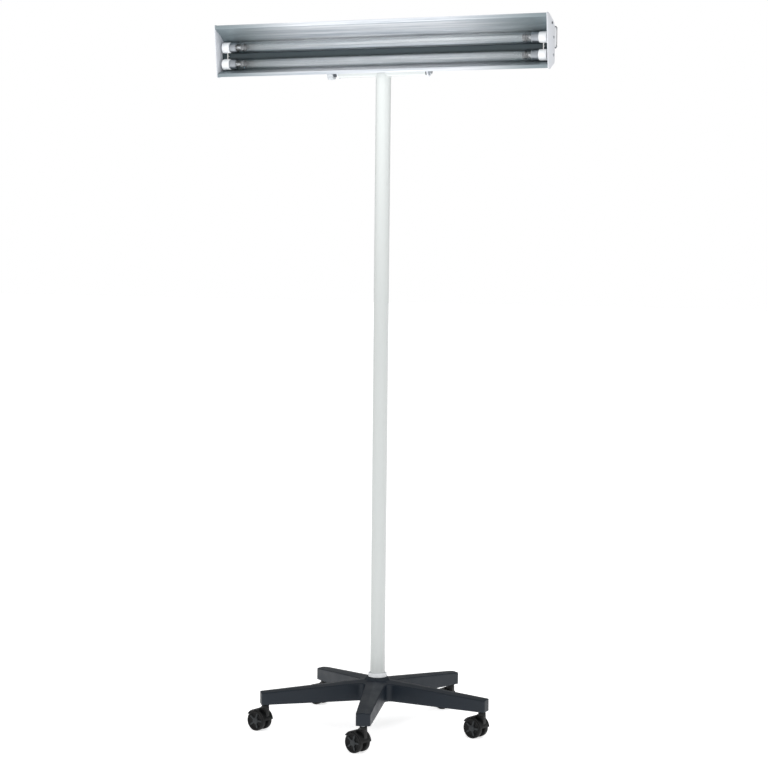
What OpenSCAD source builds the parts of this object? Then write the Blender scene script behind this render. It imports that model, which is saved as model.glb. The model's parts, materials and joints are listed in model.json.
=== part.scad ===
// Mobile twin-tube examination lamp: a hooded reflector head that tilts on a tee column,
// carried by a five-arm star base with twin-wheel swivel casters.
// Frame: +Z up, origin on the floor under the column axis, +X along the lamp head and along
// one base arm, -Y the way the lamp faces. Lengths are millimetres.

/* [Star base] */
// Radius from the column axis to each caster stem
stem_circle_r = 305; // [280:1:320]
// Radius from the column axis to the flat end of an arm
arm_tip_r = 318; // [316:1:330]
// Width of an arm where it leaves the hub
arm_root_w = 54; // [48:1:60]
// Width of an arm at its end
arm_tip_w = 38; // [34:1:44]
// Height of an arm's top face at the hub
arm_root_top = 131; // [126:1:134]
// Height of an arm's top face at its end
arm_tip_top = 107; // [104:1:112]
// Outer radius of the hub
hub_r = 36; // [34:1:40]

/* [Casters] */
// Diameter of a caster wheel
wheel_d = 54; // [50:1:56]
// Width of one wheel of a twin pair
wheel_w = 13; // [12:0.5:15]
// Distance from the swivel axis back to the wheel axle
caster_trail = 20; // [18:1:22]

/* [Column] */
// Outer diameter of the column tube
column_d = 40; // [38:1:40]
// Wall of the column tube
column_wall = 2; // [1.5:0.5:3]
// Height of the tilt axis above the floor
pivot_z = 1756; // [1400:1:1800]

/* [Tee bar] */
// Length of the horizontal bar on the column top
bar_len = 254; // [220:2:300]
// Depth of the bar, front to back
bar_y = 30; // [26:1:30]
// Height of the bar
bar_z = 20; // [18:1:20]

/* [Lamp head] */
// Overall length of the head over its end cheeks
head_len = 960; // [950:2:1000]
// Thickness of the reflector sheet
sheet_t = 1.2; // [1:0.1:1.5]
// Diameter of a lamp tube's glass
tube_d = 26; // [24:1:26]
// Length of a lamp tube over its end caps
tube_len = 895; // [880:1:895]
// Distance between the two tube axes
tube_pitch = 45; // [44:1:46]

/* [Hidden] */
$fn = 64;
fit_gap = 0.06;    // radial clearance of a turning fit
body_gap = 0.5;    // gap between faces of pieces that move past each other

n_arms = 5;
arm_step = 360 / n_arms;
arm_root_bottom = 80;
arm_tip_bottom = 73;
arm_skin = 4.5;
hub_bottom = 76;
hub_floor = 92;
hub_top = 138;
hub_chamfer = 6;
bush_r = 23;
collar_r = 25;
collar_h = 11;
stem_r = 5;
stem_foot = 46;
stem_depth = 29;
stem_boss_r = 11;
stem_flange_r = 9;

// Compass heading of each caster's trail, in degrees from +X.
caster_heading = [166, 172, 160, 169, 163];
wheel_r = wheel_d / 2;
web_t = 12.4;
wheel_in = 6.6;
axle_r = 4;
fender_in = wheel_r + 1.5;
fender_out = fender_in + 2.5;
hood_top = 71;

column_r = column_d / 2;
column_foot = hub_floor + 0.3;
column_top = pivot_z - 2;
plug_h = 38;
bolt_r = 5;
bar_half = bar_len / 2;
bar_wall = 1.5;
insert_len = 22;
pivot_r = 4;
washer_t = 2;
lug_t = 3;
lug_in = bar_half + washer_t;
lug_out = lug_in + lug_t;
lug_eye_r = 13;
lug_neck_y = 3.5;
knob_neck_r = 8;
knob_neck = 12.5;
knob_r = 16;
knob_t = 17;

// The head's section is drawn in (y, z) from the tilt axis.
tube_r = tube_d / 2;
tube_y = -22;
crest_z = 55;
tube_z = [crest_z - tube_pitch / 2, crest_z + tube_pitch / 2];
trough_r = 24;
crest_y = -8;
rim_h = 9;
lower_rim = [-42, -3];
upper_rim = [-58, 135];
hood_fold = [-27, 110];
cheek_t = 2;
cheek_in = head_len / 2 - cheek_t;
cap_len = 20;
cap_wall = 0.5;
pin_r = 1.2;
pin_len = 7.1;
pin_half_pitch = 6.35;
holder_in = tube_len / 2 + body_gap;
holder_t = 22;
holder_r = 14.5;
holder_bore_r = 9;
wire_x = holder_in + 10;
housing_t = 1;
housing_y = [3.1, 39.5];
housing_z = [53.5, 109.5];
housing_corner = 8;
housing_half = 469;
end_cap_t = 3.5;
gland_y = 21;
gland_z = 67;
gland_bore_r = 4;
gland_thread_r = 8;
switch_z = 91;
switch_y = 21;
rocker_half = 7.6;
rocker_pin_x = 2;
rocker_pin_r = 1.2;

steel = "silver";
white_paint = "gainsboro";
black_nylon = "#24292f";
white_plastic = "whitesmoke";

// ---------- helpers ----------

// Unit vector along v.
function unit(v) = v / norm(v);
// v turned a quarter turn to the left.
function left_of(v) = [-v[1], v[0]];
// Offset direction at point i of the line p, scaled so that both neighbours keep their thickness.
function miter(p, i) =
    let (
        last = len(p) - 1,
        before = unit(i > 0 ? p[i] - p[i - 1] : p[1] - p[0]),
        after = unit(i < last ? p[i + 1] - p[i] : p[last] - p[last - 1]),
        m = unit(left_of(before) + left_of(after))
    )
    m / (m * left_of(before));
// Closed outline of a sheet of thickness t bent along the line p.
function ribbon(p, t) = concat(
    [for (i = [0 : len(p) - 1]) p[i] + miter(p, i) * t / 2],
    [for (i = [len(p) - 1 : -1 : 0]) p[i] - miter(p, i) * t / 2]
);
// n + 1 points on an arc about c, from angle a to angle b.
function arc(c, r, a, b, n) = [for (i = [0 : n]) c + r * [cos(a + (b - a) * i / n), sin(a + (b - a) * i / n)]];

// Extrudes a (y, z) outline along X, centred on the given x.
module along_x(length, x = 0) {
    translate([x, 0, 0])
        rotate([90, 0, 90])
            linear_extrude(length, center = true)
                children();
}

// Cylinder along X from x1 to x2, at (y, z).
module rod_x(x1, x2, y, z, r) {
    translate([min(x1, x2), y, z])
        rotate([0, 90, 0])
            cylinder(h = abs(x2 - x1), r = r);
}

// Slim eight-sided rod from point a to point b.
module rod_between(a, b, r) {
    v = b - a;
    translate(a)
        rotate([0, acos(v[2] / norm(v)), atan2(v[1], v[0])])
            cylinder(h = norm(v), r = r, $fn = 8);
}

// Moves head pieces from the tilt axis to their place.
module on_head() {
    translate([0, 0, pivot_z])
        children();
}

// Places a piece drawn at the origin, trailing along +X, at caster k's swivel axis.
module at_caster(k) {
    a = arm_step * (k - 1);
    translate([stem_circle_r * cos(a), stem_circle_r * sin(a), 0])
        rotate([0, 0, caster_heading[k - 1]])
            children();
}

// ---------- star base ----------

// Tapered beam of one arm; inset shrinks it on all sides but the underside.
module arm_beam(from_r, to_r, inset) {
    rise = (arm_root_top - arm_tip_top) / (arm_tip_r - hub_r);
    taper = (arm_root_w - arm_tip_w) / (arm_tip_r - hub_r);
    function top_at(r) = arm_root_top - rise * max(r - hub_r, 0) - inset;
    function bottom_at(r) = inset > 0
        ? 0
        : arm_root_bottom - (arm_root_bottom - arm_tip_bottom) * r / arm_tip_r;
    function half_at(r) = (arm_root_w - taper * (r - hub_r)) / 2 - inset;
    intersection() {
        rotate([90, 0, 0])
            linear_extrude(2 * arm_root_w, center = true)
                polygon([
                    [from_r, bottom_at(from_r)], [to_r, bottom_at(to_r)], [to_r, top_at(to_r)],
                    [max(from_r, hub_r), top_at(hub_r)], [from_r, top_at(from_r)]
                ]);
        linear_extrude(2 * hub_top)
            polygon([
                [from_r, -half_at(from_r)], [to_r, -half_at(to_r)],
                [to_r, half_at(to_r)], [from_r, half_at(from_r)]
            ]);
    }
}

module arm() {
    rib_t = 3;
    rib_r = [110, 180, 250];
    difference() {
        arm_beam(0, arm_tip_r, 0);
        difference() {
            arm_beam(hub_r + 4, arm_tip_r - arm_skin, arm_skin);
            translate([stem_circle_r, 0, 0])
                cylinder(h = 2 * hub_top, r = stem_boss_r);
            for (r = rib_r)
                translate([r, -arm_root_w, 0])
                    cube([rib_t, 2 * arm_root_w, 2 * hub_top]);
        }
    }
}

module star_base() {
    color(black_nylon)
        difference() {
            union() {
                for (k = [0 : n_arms - 1])
                    rotate([0, 0, arm_step * k])
                        arm();
                translate([0, 0, hub_bottom])
                    cylinder(h = hub_top - hub_chamfer - hub_bottom, r = hub_r);
                translate([0, 0, hub_top - hub_chamfer])
                    cylinder(h = hub_chamfer, r1 = hub_r, r2 = hub_r - hub_chamfer);
            }
            translate([0, 0, hub_floor])
                cylinder(h = hub_top, r = bush_r);
            cylinder(h = hub_top, r = bolt_r + 0.6);
            for (k = [0 : n_arms - 1])
                rotate([0, 0, arm_step * k])
                    translate([stem_circle_r, 0, 0])
                        cylinder(h = arm_tip_bottom + stem_depth, r = stem_r);
        }
}

module hub_bush() {
    color(black_nylon)
        difference() {
            translate([0, 0, hub_floor])
                cylinder(h = hub_top - hub_floor, r = bush_r);
            cylinder(h = 2 * hub_top, r = column_r + fit_gap);
        }
}

module hub_collar() {
    bevel = 2;
    color(white_plastic)
        difference() {
            union() {
                translate([0, 0, hub_top])
                    cylinder(h = collar_h - bevel, r = collar_r);
                translate([0, 0, hub_top + collar_h - bevel])
                    cylinder(h = bevel, r1 = collar_r, r2 = collar_r - bevel);
            }
            cylinder(h = 2 * hub_top, r = column_r + body_gap);
        }
}

module caster_stems() {
    color(steel)
        for (k = [0 : n_arms - 1])
            rotate([0, 0, arm_step * k])
                translate([stem_circle_r, 0, 0]) {
                    translate([0, 0, stem_foot])
                        cylinder(h = arm_tip_bottom + stem_depth - stem_foot, r = stem_r);
                    translate([0, 0, hood_top + body_gap])
                        cylinder(h = arm_tip_bottom - hood_top - body_gap, r = stem_flange_r);
                }
}

// ---------- casters, drawn about the swivel axis with the axle at +X ----------

module caster_hood() {
    color(black_nylon)
        difference() {
            union() {
                rotate([90, 0, 0])
                    linear_extrude(web_t, center = true) {
                        translate([caster_trail, wheel_r])
                            circle(r = 9);
                        polygon([[27, 22], [12, 18], [-9, 40], [-9, 67], [9, 67], [27, 51]]);
                    }
                rotate([90, 0, 0])
                    linear_extrude(2 * (wheel_in + wheel_w) + 1, center = true)
                        intersection() {
                            translate([caster_trail, wheel_r])
                                difference() {
                                    circle(r = fender_out);
                                    circle(r = fender_in);
                                }
                            polygon([
                                [-40, wheel_r + 4], [caster_trail, wheel_r], [55, wheel_r + 22],
                                [55, 90], [-40, 90]
                            ]);
                        }
                translate([0, 0, 56])
                    cylinder(h = hood_top - 56, r = 10);
            }
            translate([0, 0, stem_foot - body_gap])
                cylinder(h = hood_top, r = stem_r + fit_gap);
            translate([caster_trail, 0, wheel_r])
                rotate([90, 0, 0])
                    cylinder(h = 2 * web_t, r = axle_r, center = true);
        }
}

module caster_axle() {
    color(steel)
        translate([caster_trail, 0, wheel_r])
            rotate([90, 0, 0])
                cylinder(h = 2 * (wheel_in + wheel_w), r = axle_r, center = true);
}

// One wheel; side is 1 or -1 for the two wheels of a pair.
module caster_wheel(side) {
    tread_bevel = 1.5;
    dish = 2.5;
    cap_r = 10;
    color("#1c1f22")
        translate([caster_trail, side * wheel_in, wheel_r])
            rotate([-90 * side, 0, 0])
                rotate_extrude()
                    polygon([
                        [axle_r + fit_gap, 0], [wheel_r - tread_bevel, 0], [wheel_r, tread_bevel],
                        [wheel_r, wheel_w - tread_bevel], [wheel_r - tread_bevel, wheel_w],
                        [wheel_r - 5, wheel_w], [wheel_r - 5 - dish, wheel_w - dish],
                        [cap_r + 1, wheel_w - dish], [cap_r, wheel_w], [axle_r + fit_gap, wheel_w]
                    ]);
}

// ---------- column and tee ----------

module column() {
    color(white_paint)
        difference() {
            translate([0, 0, column_foot])
                cylinder(h = column_top - column_foot, r = column_r);
            cylinder(h = 2 * column_top, r = column_r - column_wall);
            translate([0, 0, pivot_z])
                cube([bar_len, bar_y, bar_z], center = true);
        }
}

module foot_plug() {
    color(steel)
        difference() {
            translate([0, 0, column_foot])
                cylinder(h = plug_h, r = column_r - column_wall);
            cylinder(h = 2 * hub_top, r = bolt_r);
        }
}

module foot_bolt() {
    gap = 0.3;
    washer_h = 2;
    head_h = 6.5;
    color(steel) {
        translate([0, 0, hub_bottom - gap - washer_h])
            cylinder(h = 50, r = bolt_r);
        translate([0, 0, hub_bottom - gap - washer_h])
            cylinder(h = washer_h, r = 12);
        translate([0, 0, hub_bottom - gap - washer_h - head_h])
            cylinder(h = head_h, r = 9.2, $fn = 6);
    }
}

module cross_bar() {
    color(white_paint)
        translate([0, 0, pivot_z])
            difference() {
                cube([bar_len, bar_y, bar_z], center = true);
                cube([bar_len + 1, bar_y - 2 * bar_wall, bar_z - 2 * bar_wall], center = true);
            }
}

module bar_inserts() {
    color(steel)
        on_head()
            for (s = [-1, 1])
                difference() {
                    translate([s * (bar_half - insert_len / 2), 0, 0])
                        cube([insert_len, bar_y - 2 * bar_wall, bar_z - 2 * bar_wall], center = true);
                    rod_x(s * (bar_half - insert_len - 1), s * (bar_half + 1), 0, 0, pivot_r);
                }
}

module friction_washers() {
    color("#30343a")
        on_head()
            for (s = [-1, 1])
                difference() {
                    rod_x(s * bar_half, s * (lug_in - 0.1), 0, 0, 9.5);
                    rod_x(s * (bar_half - 1), s * (lug_in + 1), 0, 0, pivot_r);
                }
}

module pivot_bolt() {
    plate_t = 1.5;
    head_t = 5.5;
    color(steel)
        on_head() {
            rod_x(bar_half - insert_len + 4, lug_out + 0.1, 0, 0, pivot_r);
            rod_x(lug_out + 0.1, lug_out + plate_t, 0, 0, 9);
            translate([lug_out + plate_t, 0, 0])
                rotate([0, 90, 0])
                    cylinder(h = head_t, r = 7.5, $fn = 6);
        }
}

module knob_stud() {
    color(steel)
        on_head()
            rod_x(-(bar_half - insert_len + 4), -(lug_out + knob_neck + 10), 0, 0, pivot_r - fit_gap);
}

// Lobed clamping knob on a slim neck.
module tilt_knob() {
    lobes = 6;
    scallop_r = 6;
    neck_in = lug_out + 0.3;
    grip_in = lug_out + knob_neck;
    color("#3a3e44")
        on_head()
            difference() {
                union() {
                    rod_x(-neck_in, -grip_in, 0, 0, knob_neck_r);
                    rod_x(-grip_in, -(grip_in + knob_t), 0, 0, knob_r);
                }
                for (i = [0 : lobes - 1])
                    rotate([360 / lobes * i, 0, 0])
                        rod_x(-(grip_in - 1), -(grip_in + knob_t + 1), 0, knob_r + 3.4, scallop_r);
                rod_x(-(neck_in - 1), -(grip_in + 10), 0, 0, pivot_r - fit_gap);
            }
}

// ---------- lamp head ----------

// Holes at both ends that let the lamp wires through the crest.
module wire_holes() {
    hole_r = 2.6;
    for (s = [-1, 1])
        translate([s * wire_x, 0, crest_z])
            rotate([90, 0, 0])
                cylinder(h = 80, r = hole_r, center = true);
}

// Bend line of the reflector sheet, from the lower rim up to the upper rim.
reflector_line = concat(
    [lower_rim, lower_rim + [0, rim_h]],
    arc([tube_y, tube_z[0]], trough_r, -29, 48, 14),
    [[crest_y, crest_z - 2.5], [crest_y, crest_z + 2.5]],
    arc([tube_y, tube_z[1]], trough_r, -48, 29, 14),
    [hood_fold, upper_rim - [0, rim_h], upper_rim]
);

module reflector() {
    color("lightsteelblue")
        on_head()
            difference() {
                along_x(2 * cheek_in)
                    polygon(ribbon(reflector_line, sheet_t));
                wire_holes();
            }
}

// Dark channel that covers the crest between the two troughs.
module spine_strip() {
    foot = crest_y - sheet_t;
    color("#3c4348")
        on_head()
            difference() {
                along_x(2 * cheek_in)
                    polygon(ribbon(
                        [[foot, crest_z - 10.5], [foot - 5.5, crest_z - 8.5],
                         [foot - 5.5, crest_z + 8.5], [foot, crest_z + 10.5]],
                        sheet_t
                    ));
                wire_holes();
            }
}

// Outline of an end cheek, drawn round its corners.
cheek_outline = [
    [-60, 137], [-46, 137], [-9, 119], [2.5, 104], [2.5, 14], [-30, -5], [-44, -5]
];

module cheek(side) {
    corner = 4;
    color(white_paint)
        on_head()
            difference() {
                along_x(cheek_t, side * (cheek_in + cheek_t / 2))
                    offset(r = corner)
                        offset(delta = -corner)
                            polygon(cheek_outline);
                for (z = tube_z)
                    rod_x(side * (cheek_in - 1), side * (cheek_in + cheek_t + 1), -8, z, 2.2);
            }
}

// Bend line of the back housing, a channel that is open towards the reflector.
housing_line = concat(
    [[housing_y[0], housing_z[0] + 10], [housing_y[0], housing_z[0]]],
    arc([housing_y[1] - housing_corner, housing_z[0] + housing_corner], housing_corner, -90, 0, 6),
    arc([housing_y[1] - housing_corner, housing_z[1] - housing_corner], housing_corner, 0, 90, 6),
    [[housing_y[0], housing_z[1]], [housing_y[0], housing_z[1] - 10]]
);

module back_housing() {
    color(white_paint)
        on_head()
            along_x(2 * housing_half)
                polygon(ribbon(housing_line, housing_t));
}

// Filled outline of the housing, grown by g.
module housing_outline(g) {
    c = housing_corner + g;
    polygon(concat(
        [[housing_y[0] - g, housing_z[0] - g]],
        arc([housing_y[1] - housing_corner, housing_z[0] + housing_corner], c, -90, 0, 6),
        arc([housing_y[1] - housing_corner, housing_z[1] - housing_corner], c, 0, 90, 6),
        [[housing_y[0] - g, housing_z[1] + g]]
    ));
}

module housing_cap(side) {
    spigot = 8;
    color(white_plastic)
        on_head()
            difference() {
                union() {
                    along_x(end_cap_t, side * (housing_half + end_cap_t / 2))
                        housing_outline(housing_t / 2);
                    along_x(spigot, side * (housing_half - spigot / 2))
                        difference() {
                            housing_outline(-housing_t / 2 - 0.1);
                            housing_outline(-housing_t / 2 - 2.5);
                        }
                }
                for (z = [housing_z[0] + 5, housing_z[1] - 5])
                    rod_x(side * (housing_half - 20), side * (housing_half + 20), 34.5, z, 1.5);
                if (side < 0) {
                    rod_x(-(housing_half - 20), -(housing_half + 20), gland_y, gland_z, gland_thread_r);
                    translate([-housing_half - end_cap_t / 2, switch_y, switch_z])
                        cube([20, 13, 20], center = true);
                }
            }
}

module housing_screws() {
    color(steel)
        on_head()
            for (s = [-1, 1])
                for (z = [housing_z[0] + 5, housing_z[1] - 5]) {
                    rod_x(s * (housing_half - 6), s * (housing_half + end_cap_t), 34.5, z, 1.5);
                    rod_x(s * (housing_half + end_cap_t), s * (housing_half + end_cap_t + 1.6), 34.5, z, 3);
                }
}

// Hanger plate from the tilt axis up to the underside of the housing, with a foot flange.
module lug(side) {
    top = housing_z[0] - housing_t / 2;
    flange_w = 22;
    color(white_paint)
        on_head()
            difference() {
                union() {
                    along_x(lug_t, side * (lug_in + lug_t / 2)) {
                        circle(r = lug_eye_r);
                        polygon([[lug_neck_y, 0], [12.8, 0], [28, 36], [28, top], [lug_neck_y, top]]);
                    }
                    translate([side * (lug_in + flange_w / 2), (lug_neck_y + 28) / 2, top - lug_t / 2])
                        cube([flange_w, 28 - lug_neck_y, lug_t], center = true);
                }
                rod_x(side * (lug_in - 1), side * (lug_out + 1), 0, 0, pivot_r + fit_gap);
                for (y = [10, 22])
                    translate([side * (lug_in + 14), y, top - 10])
                        cylinder(h = 20, r = 2);
            }
}

module lug_screws() {
    top = housing_z[0] - housing_t / 2;
    color(steel)
        on_head()
            for (s = [-1, 1])
                for (y = [10, 22])
                    translate([s * (lug_in + 14), y, 0]) {
                        translate([0, 0, top - lug_t])
                            cylinder(h = lug_t, r = 2);
                        translate([0, 0, top - lug_t - 2.2])
                            cylinder(h = 2.2, r = 3.8);
                    }
}

module cheek_screws() {
    outer = cheek_in + cheek_t;
    color(steel)
        on_head()
            for (s = [-1, 1])
                for (z = tube_z) {
                    rod_x(s * (holder_in + holder_t), s * outer, -8, z, 2);
                    rod_x(s * outer, s * (outer + 1.8), -8, z, 4);
                }
}

module spacer_blocks() {
    front = crest_y + sheet_t / 2;
    back = housing_y[0] - housing_t / 2;
    color(steel)
        on_head()
            for (x = [-300, 0, 300])
                translate([x, (front + back) / 2, crest_z])
                    cube([16, back - front, 4], center = true);
}

module ballast() {
    color("white")
        on_head()
            difference() {
                translate([-180, 8, 62])
                    cube([360, 28, 38]);
                for (x = [-174, 174])
                    translate([x, 22, 60])
                        cylinder(h = 50, r = 2.2);
            }
}

module terminal_block() {
    color("white")
        on_head()
            difference() {
                translate([-330, 14, 56])
                    cube([44, 20, 16]);
                for (i = [0 : 2])
                    translate([-322 + 14 * i, 24, 62])
                        cylinder(h = 20, r = 2.5);
            }
}

// Wire through a list of points.
module wire(points, r) {
    for (i = [0 : len(points) - 2])
        rod_between(points[i], points[i + 1], r);
}

// Supply wires from the terminals to the ballast, and lamp wires out to both ends.
module wire_loom() {
    wire_r = 1.3;
    color("white")
        on_head() {
            for (i = [0 : 1])
                wire([[-286, 20 + 7 * i, 64], [-200, 20 + 7 * i, 64], [-180, 20 + 7 * i, 72]], wire_r);
            for (s = [-1, 1]) {
                wire([
                    [s * 180, 12, 96], [s * 200, 12, 103], [s * 440, 12, 103],
                    [s * wire_x, 8, 72], [s * wire_x, 1.2, 64.5], [s * wire_x, -1.5, 58],
                    [s * wire_x, crest_y, crest_z], [s * wire_x, tube_y, crest_z]
                ], wire_r);
                wire([
                    [s * wire_x, tube_y, tube_z[0] + holder_r],
                    [s * wire_x, tube_y, tube_z[1] - holder_r]
                ], wire_r);
            }
        }
}

// Push-through lampholder for one tube end.
module lampholder(side, z) {
    foot_y = -1.3;
    difference() {
        union() {
            rod_x(side * holder_in, side * (holder_in + holder_t), tube_y, z, holder_r);
            translate([side * (holder_in + holder_t / 2), (tube_y + foot_y) / 2, z])
                cube([holder_t, foot_y - tube_y, 21], center = true);
        }
        rod_x(side * (holder_in - 1), side * (holder_in + 8.5), tube_y, z, holder_bore_r);
    }
}

module lampholders() {
    color(white_plastic)
        on_head()
            for (s = [-1, 1])
                for (z = tube_z)
                    lampholder(s, z);
}

module tube_glass(z) {
    half = tube_len / 2 - 2;
    color("white")
        on_head()
            difference() {
                rod_x(-half, half, tube_y, z, tube_r);
                rod_x(-half - 1, half + 1, tube_y, z, tube_r - 1);
            }
}

module tube_caps(z) {
    color(steel)
        on_head()
            for (s = [-1, 1])
                difference() {
                    rod_x(s * (tube_len / 2 - cap_len), s * tube_len / 2, tube_y, z, tube_r + cap_wall);
                    rod_x(s * (tube_len / 2 - cap_len - 1), s * (tube_len / 2 - 2), tube_y, z, tube_r);
                }
}

module tube_pins(z) {
    color("goldenrod")
        on_head()
            for (s = [-1, 1])
                for (d = [-1, 1])
                    rod_x(s * tube_len / 2, s * (tube_len / 2 + pin_len), tube_y, z + d * pin_half_pitch, pin_r);
}

// Round pin along the rocker's tilt axis.
module rocker_pin(length, r) {
    translate([-housing_half - end_cap_t + rocker_pin_x, switch_y, switch_z])
        rotate([90, 0, 0])
            cylinder(h = length, r = r, center = true);
}

module switch_frame() {
    outer = housing_half + end_cap_t;
    color(black_nylon)
        on_head()
            difference() {
                union() {
                    translate([-outer - 0.75, switch_y, switch_z])
                        cube([1.5, 16, 23], center = true);
                    translate([-outer + 8, switch_y, switch_z])
                        cube([16, 13, 20], center = true);
                }
                translate([-outer + 2, switch_y, switch_z])
                    cube([10, 10.6, 18], center = true);
                rocker_pin(12.8, rocker_pin_r + fit_gap);
            }
}

// Rocker, drawn pressed at its lower half.
module switch_rocker() {
    outer = housing_half + end_cap_t;
    color("#15181b")
        on_head() {
            translate([-outer, switch_y, switch_z])
                rotate([90, 0, 0])
                    linear_extrude(10, center = true)
                        polygon([
                            [2, -7], [2, 7], [-3.6, rocker_half], [-1.6, 0], [-1.6, -rocker_half]
                        ]);
            rocker_pin(12.4, rocker_pin_r);
        }
}

module gland_body() {
    outer = housing_half + end_cap_t;
    color("#4a4f55")
        on_head()
            difference() {
                union() {
                    rod_x(-outer + 14, -outer, gland_y, gland_z, gland_thread_r);
                    translate([-outer, gland_y, gland_z])
                        rotate([0, -90, 0])
                            cylinder(h = 4, r = 11, $fn = 6);
                    rod_x(-outer - 4, -outer - 9, gland_y, gland_z, 9.5);
                    translate([-outer - 9, gland_y, gland_z])
                        rotate([0, -90, 0])
                            cylinder(h = 6, r1 = 9.5, r2 = 6.5);
                }
                rod_x(-outer + 20, -outer - 20, gland_y, gland_z, gland_bore_r);
            }
}

module gland_nut() {
    color("#4a4f55")
        on_head()
            difference() {
                translate([-housing_half, gland_y, gland_z])
                    rotate([0, 90, 0])
                        cylinder(h = 5, r = 10.2, $fn = 6);
                rod_x(-housing_half - 1, -housing_half + 6, gland_y, gland_z, gland_thread_r);
            }
}

// ---------- nodes ----------

star_base();
hub_collar();
hub_bush();
caster_stems();
for (k = [1 : n_arms]) {
    at_caster(k) caster_hood();
    at_caster(k) caster_axle();
    at_caster(k) caster_wheel(1);
    at_caster(k) caster_wheel(-1);
}
column();
foot_plug();
foot_bolt();
cross_bar();
bar_inserts();
pivot_bolt();
friction_washers();
tilt_knob();
knob_stud();
reflector();
spine_strip();
cheek(-1);  // cheek_left
cheek(1);  // cheek_right
back_housing();
housing_cap(-1);  // housing_cap_left
housing_cap(1);  // housing_cap_right
lug(-1);  // lug_left
lug(1);  // lug_right
lug_screws();
cheek_screws();
housing_screws();
spacer_blocks();
ballast();
terminal_block();
wire_loom();
lampholders();
tube_glass(tube_z[0]);  // tube_glass_lower
tube_glass(tube_z[1]);  // tube_glass_upper
tube_caps(tube_z[0]);  // tube_caps_lower
tube_caps(tube_z[1]);  // tube_caps_upper
tube_pins(tube_z[0]);  // tube_pins_lower
tube_pins(tube_z[1]);  // tube_pins_upper
switch_frame();
switch_rocker();
gland_body();
gland_nut();
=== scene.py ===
"""A mobile examination lamp: a mirror-lined lamp head that tilts on a tee column over a castor base.

Every surface is a grid of points worked out with numpy, placed in the row frame in metres.
Each sub-assembly is a class that builds its pieces, puts them on their bodies and dresses them.
"""

import json
import logging
import math
from dataclasses import dataclass, field, replace
from enum import Enum
from typing import Optional, Sequence

import bmesh
import bpy
import numpy as np
from mathutils import Matrix, Vector


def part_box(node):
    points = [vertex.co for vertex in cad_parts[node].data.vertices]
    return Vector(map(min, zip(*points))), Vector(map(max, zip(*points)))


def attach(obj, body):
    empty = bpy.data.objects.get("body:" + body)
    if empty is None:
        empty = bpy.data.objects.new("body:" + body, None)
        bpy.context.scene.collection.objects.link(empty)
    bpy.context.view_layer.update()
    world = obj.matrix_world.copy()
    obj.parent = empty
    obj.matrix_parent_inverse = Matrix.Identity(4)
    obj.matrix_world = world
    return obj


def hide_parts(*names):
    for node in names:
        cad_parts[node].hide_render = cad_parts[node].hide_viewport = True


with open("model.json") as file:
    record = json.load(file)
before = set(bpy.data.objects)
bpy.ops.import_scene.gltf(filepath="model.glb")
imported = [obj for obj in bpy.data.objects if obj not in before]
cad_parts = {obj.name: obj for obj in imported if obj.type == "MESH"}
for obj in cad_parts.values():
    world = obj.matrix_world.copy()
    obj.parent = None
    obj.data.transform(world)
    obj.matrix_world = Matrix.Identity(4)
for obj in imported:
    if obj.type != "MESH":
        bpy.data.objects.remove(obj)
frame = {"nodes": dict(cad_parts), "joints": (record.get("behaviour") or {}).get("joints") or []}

logging.basicConfig(level=logging.INFO, format="%(levelname)s %(message)s")
LOG = logging.getLogger("examination_lamp")
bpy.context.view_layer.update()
MM = 0.001
Array = np.ndarray


# ---------------------------------------------------------------- surfaces


class Ends(Enum):
    """How a loft is finished at its first and last ring."""

    FAN = "a flat face round a middle point"
    STRIP = "a face between the two sides of a bent sheet"
    LOOP = "the last ring joins the first"
    OPEN = "left open"


@dataclass(frozen=True)
class Surface:
    """Points, in millimetres, and the faces between them."""

    points: Array
    faces: tuple[Array, ...]

    def __add__(self, other: "Surface") -> "Surface":
        """Both surfaces as one."""
        shifted = tuple(f + len(self.points) for f in other.faces)
        return Surface(np.vstack([self.points, other.points]), self.faces + shifted)

    def moved(self, shift: Sequence[float], turn: Optional[Array] = None) -> "Surface":
        """The surface turned by a 3 by 3 matrix and then shifted.

        Args:
            shift: where the origin goes.
            turn: a matrix whose columns are the new X, Y and Z directions.

        Returns:
            The placed surface.
        """
        points = self.points if turn is None else self.points @ np.asarray(turn, float).T
        return Surface(points + np.asarray(shift, float), self.faces)

    def mirrored_x(self) -> "Surface":
        """The mirror image across the plane x = 0, still facing outwards."""
        return Surface(self.points * np.array([-1.0, 1.0, 1.0]), tuple(f[:, ::-1] for f in self.faces))

    def outward(self) -> "Surface":
        """The closed surface with its faces turned so that it holds a positive volume."""
        volume = 0.0
        for f in self.faces:
            a = self.points[f[:, 0]]
            for i in range(1, f.shape[1] - 1):
                volume += np.einsum("ij,ij->", a, np.cross(self.points[f[:, i]], self.points[f[:, i + 1]]))
        if volume >= 0.0:
            return self
        return Surface(self.points, tuple(f[:, ::-1] for f in self.faces))


def joined(parts: Sequence[Surface]) -> Surface:
    """All the surfaces as one."""
    total = parts[0]
    for part in parts[1:]:
        total = total + part
    return total


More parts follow.
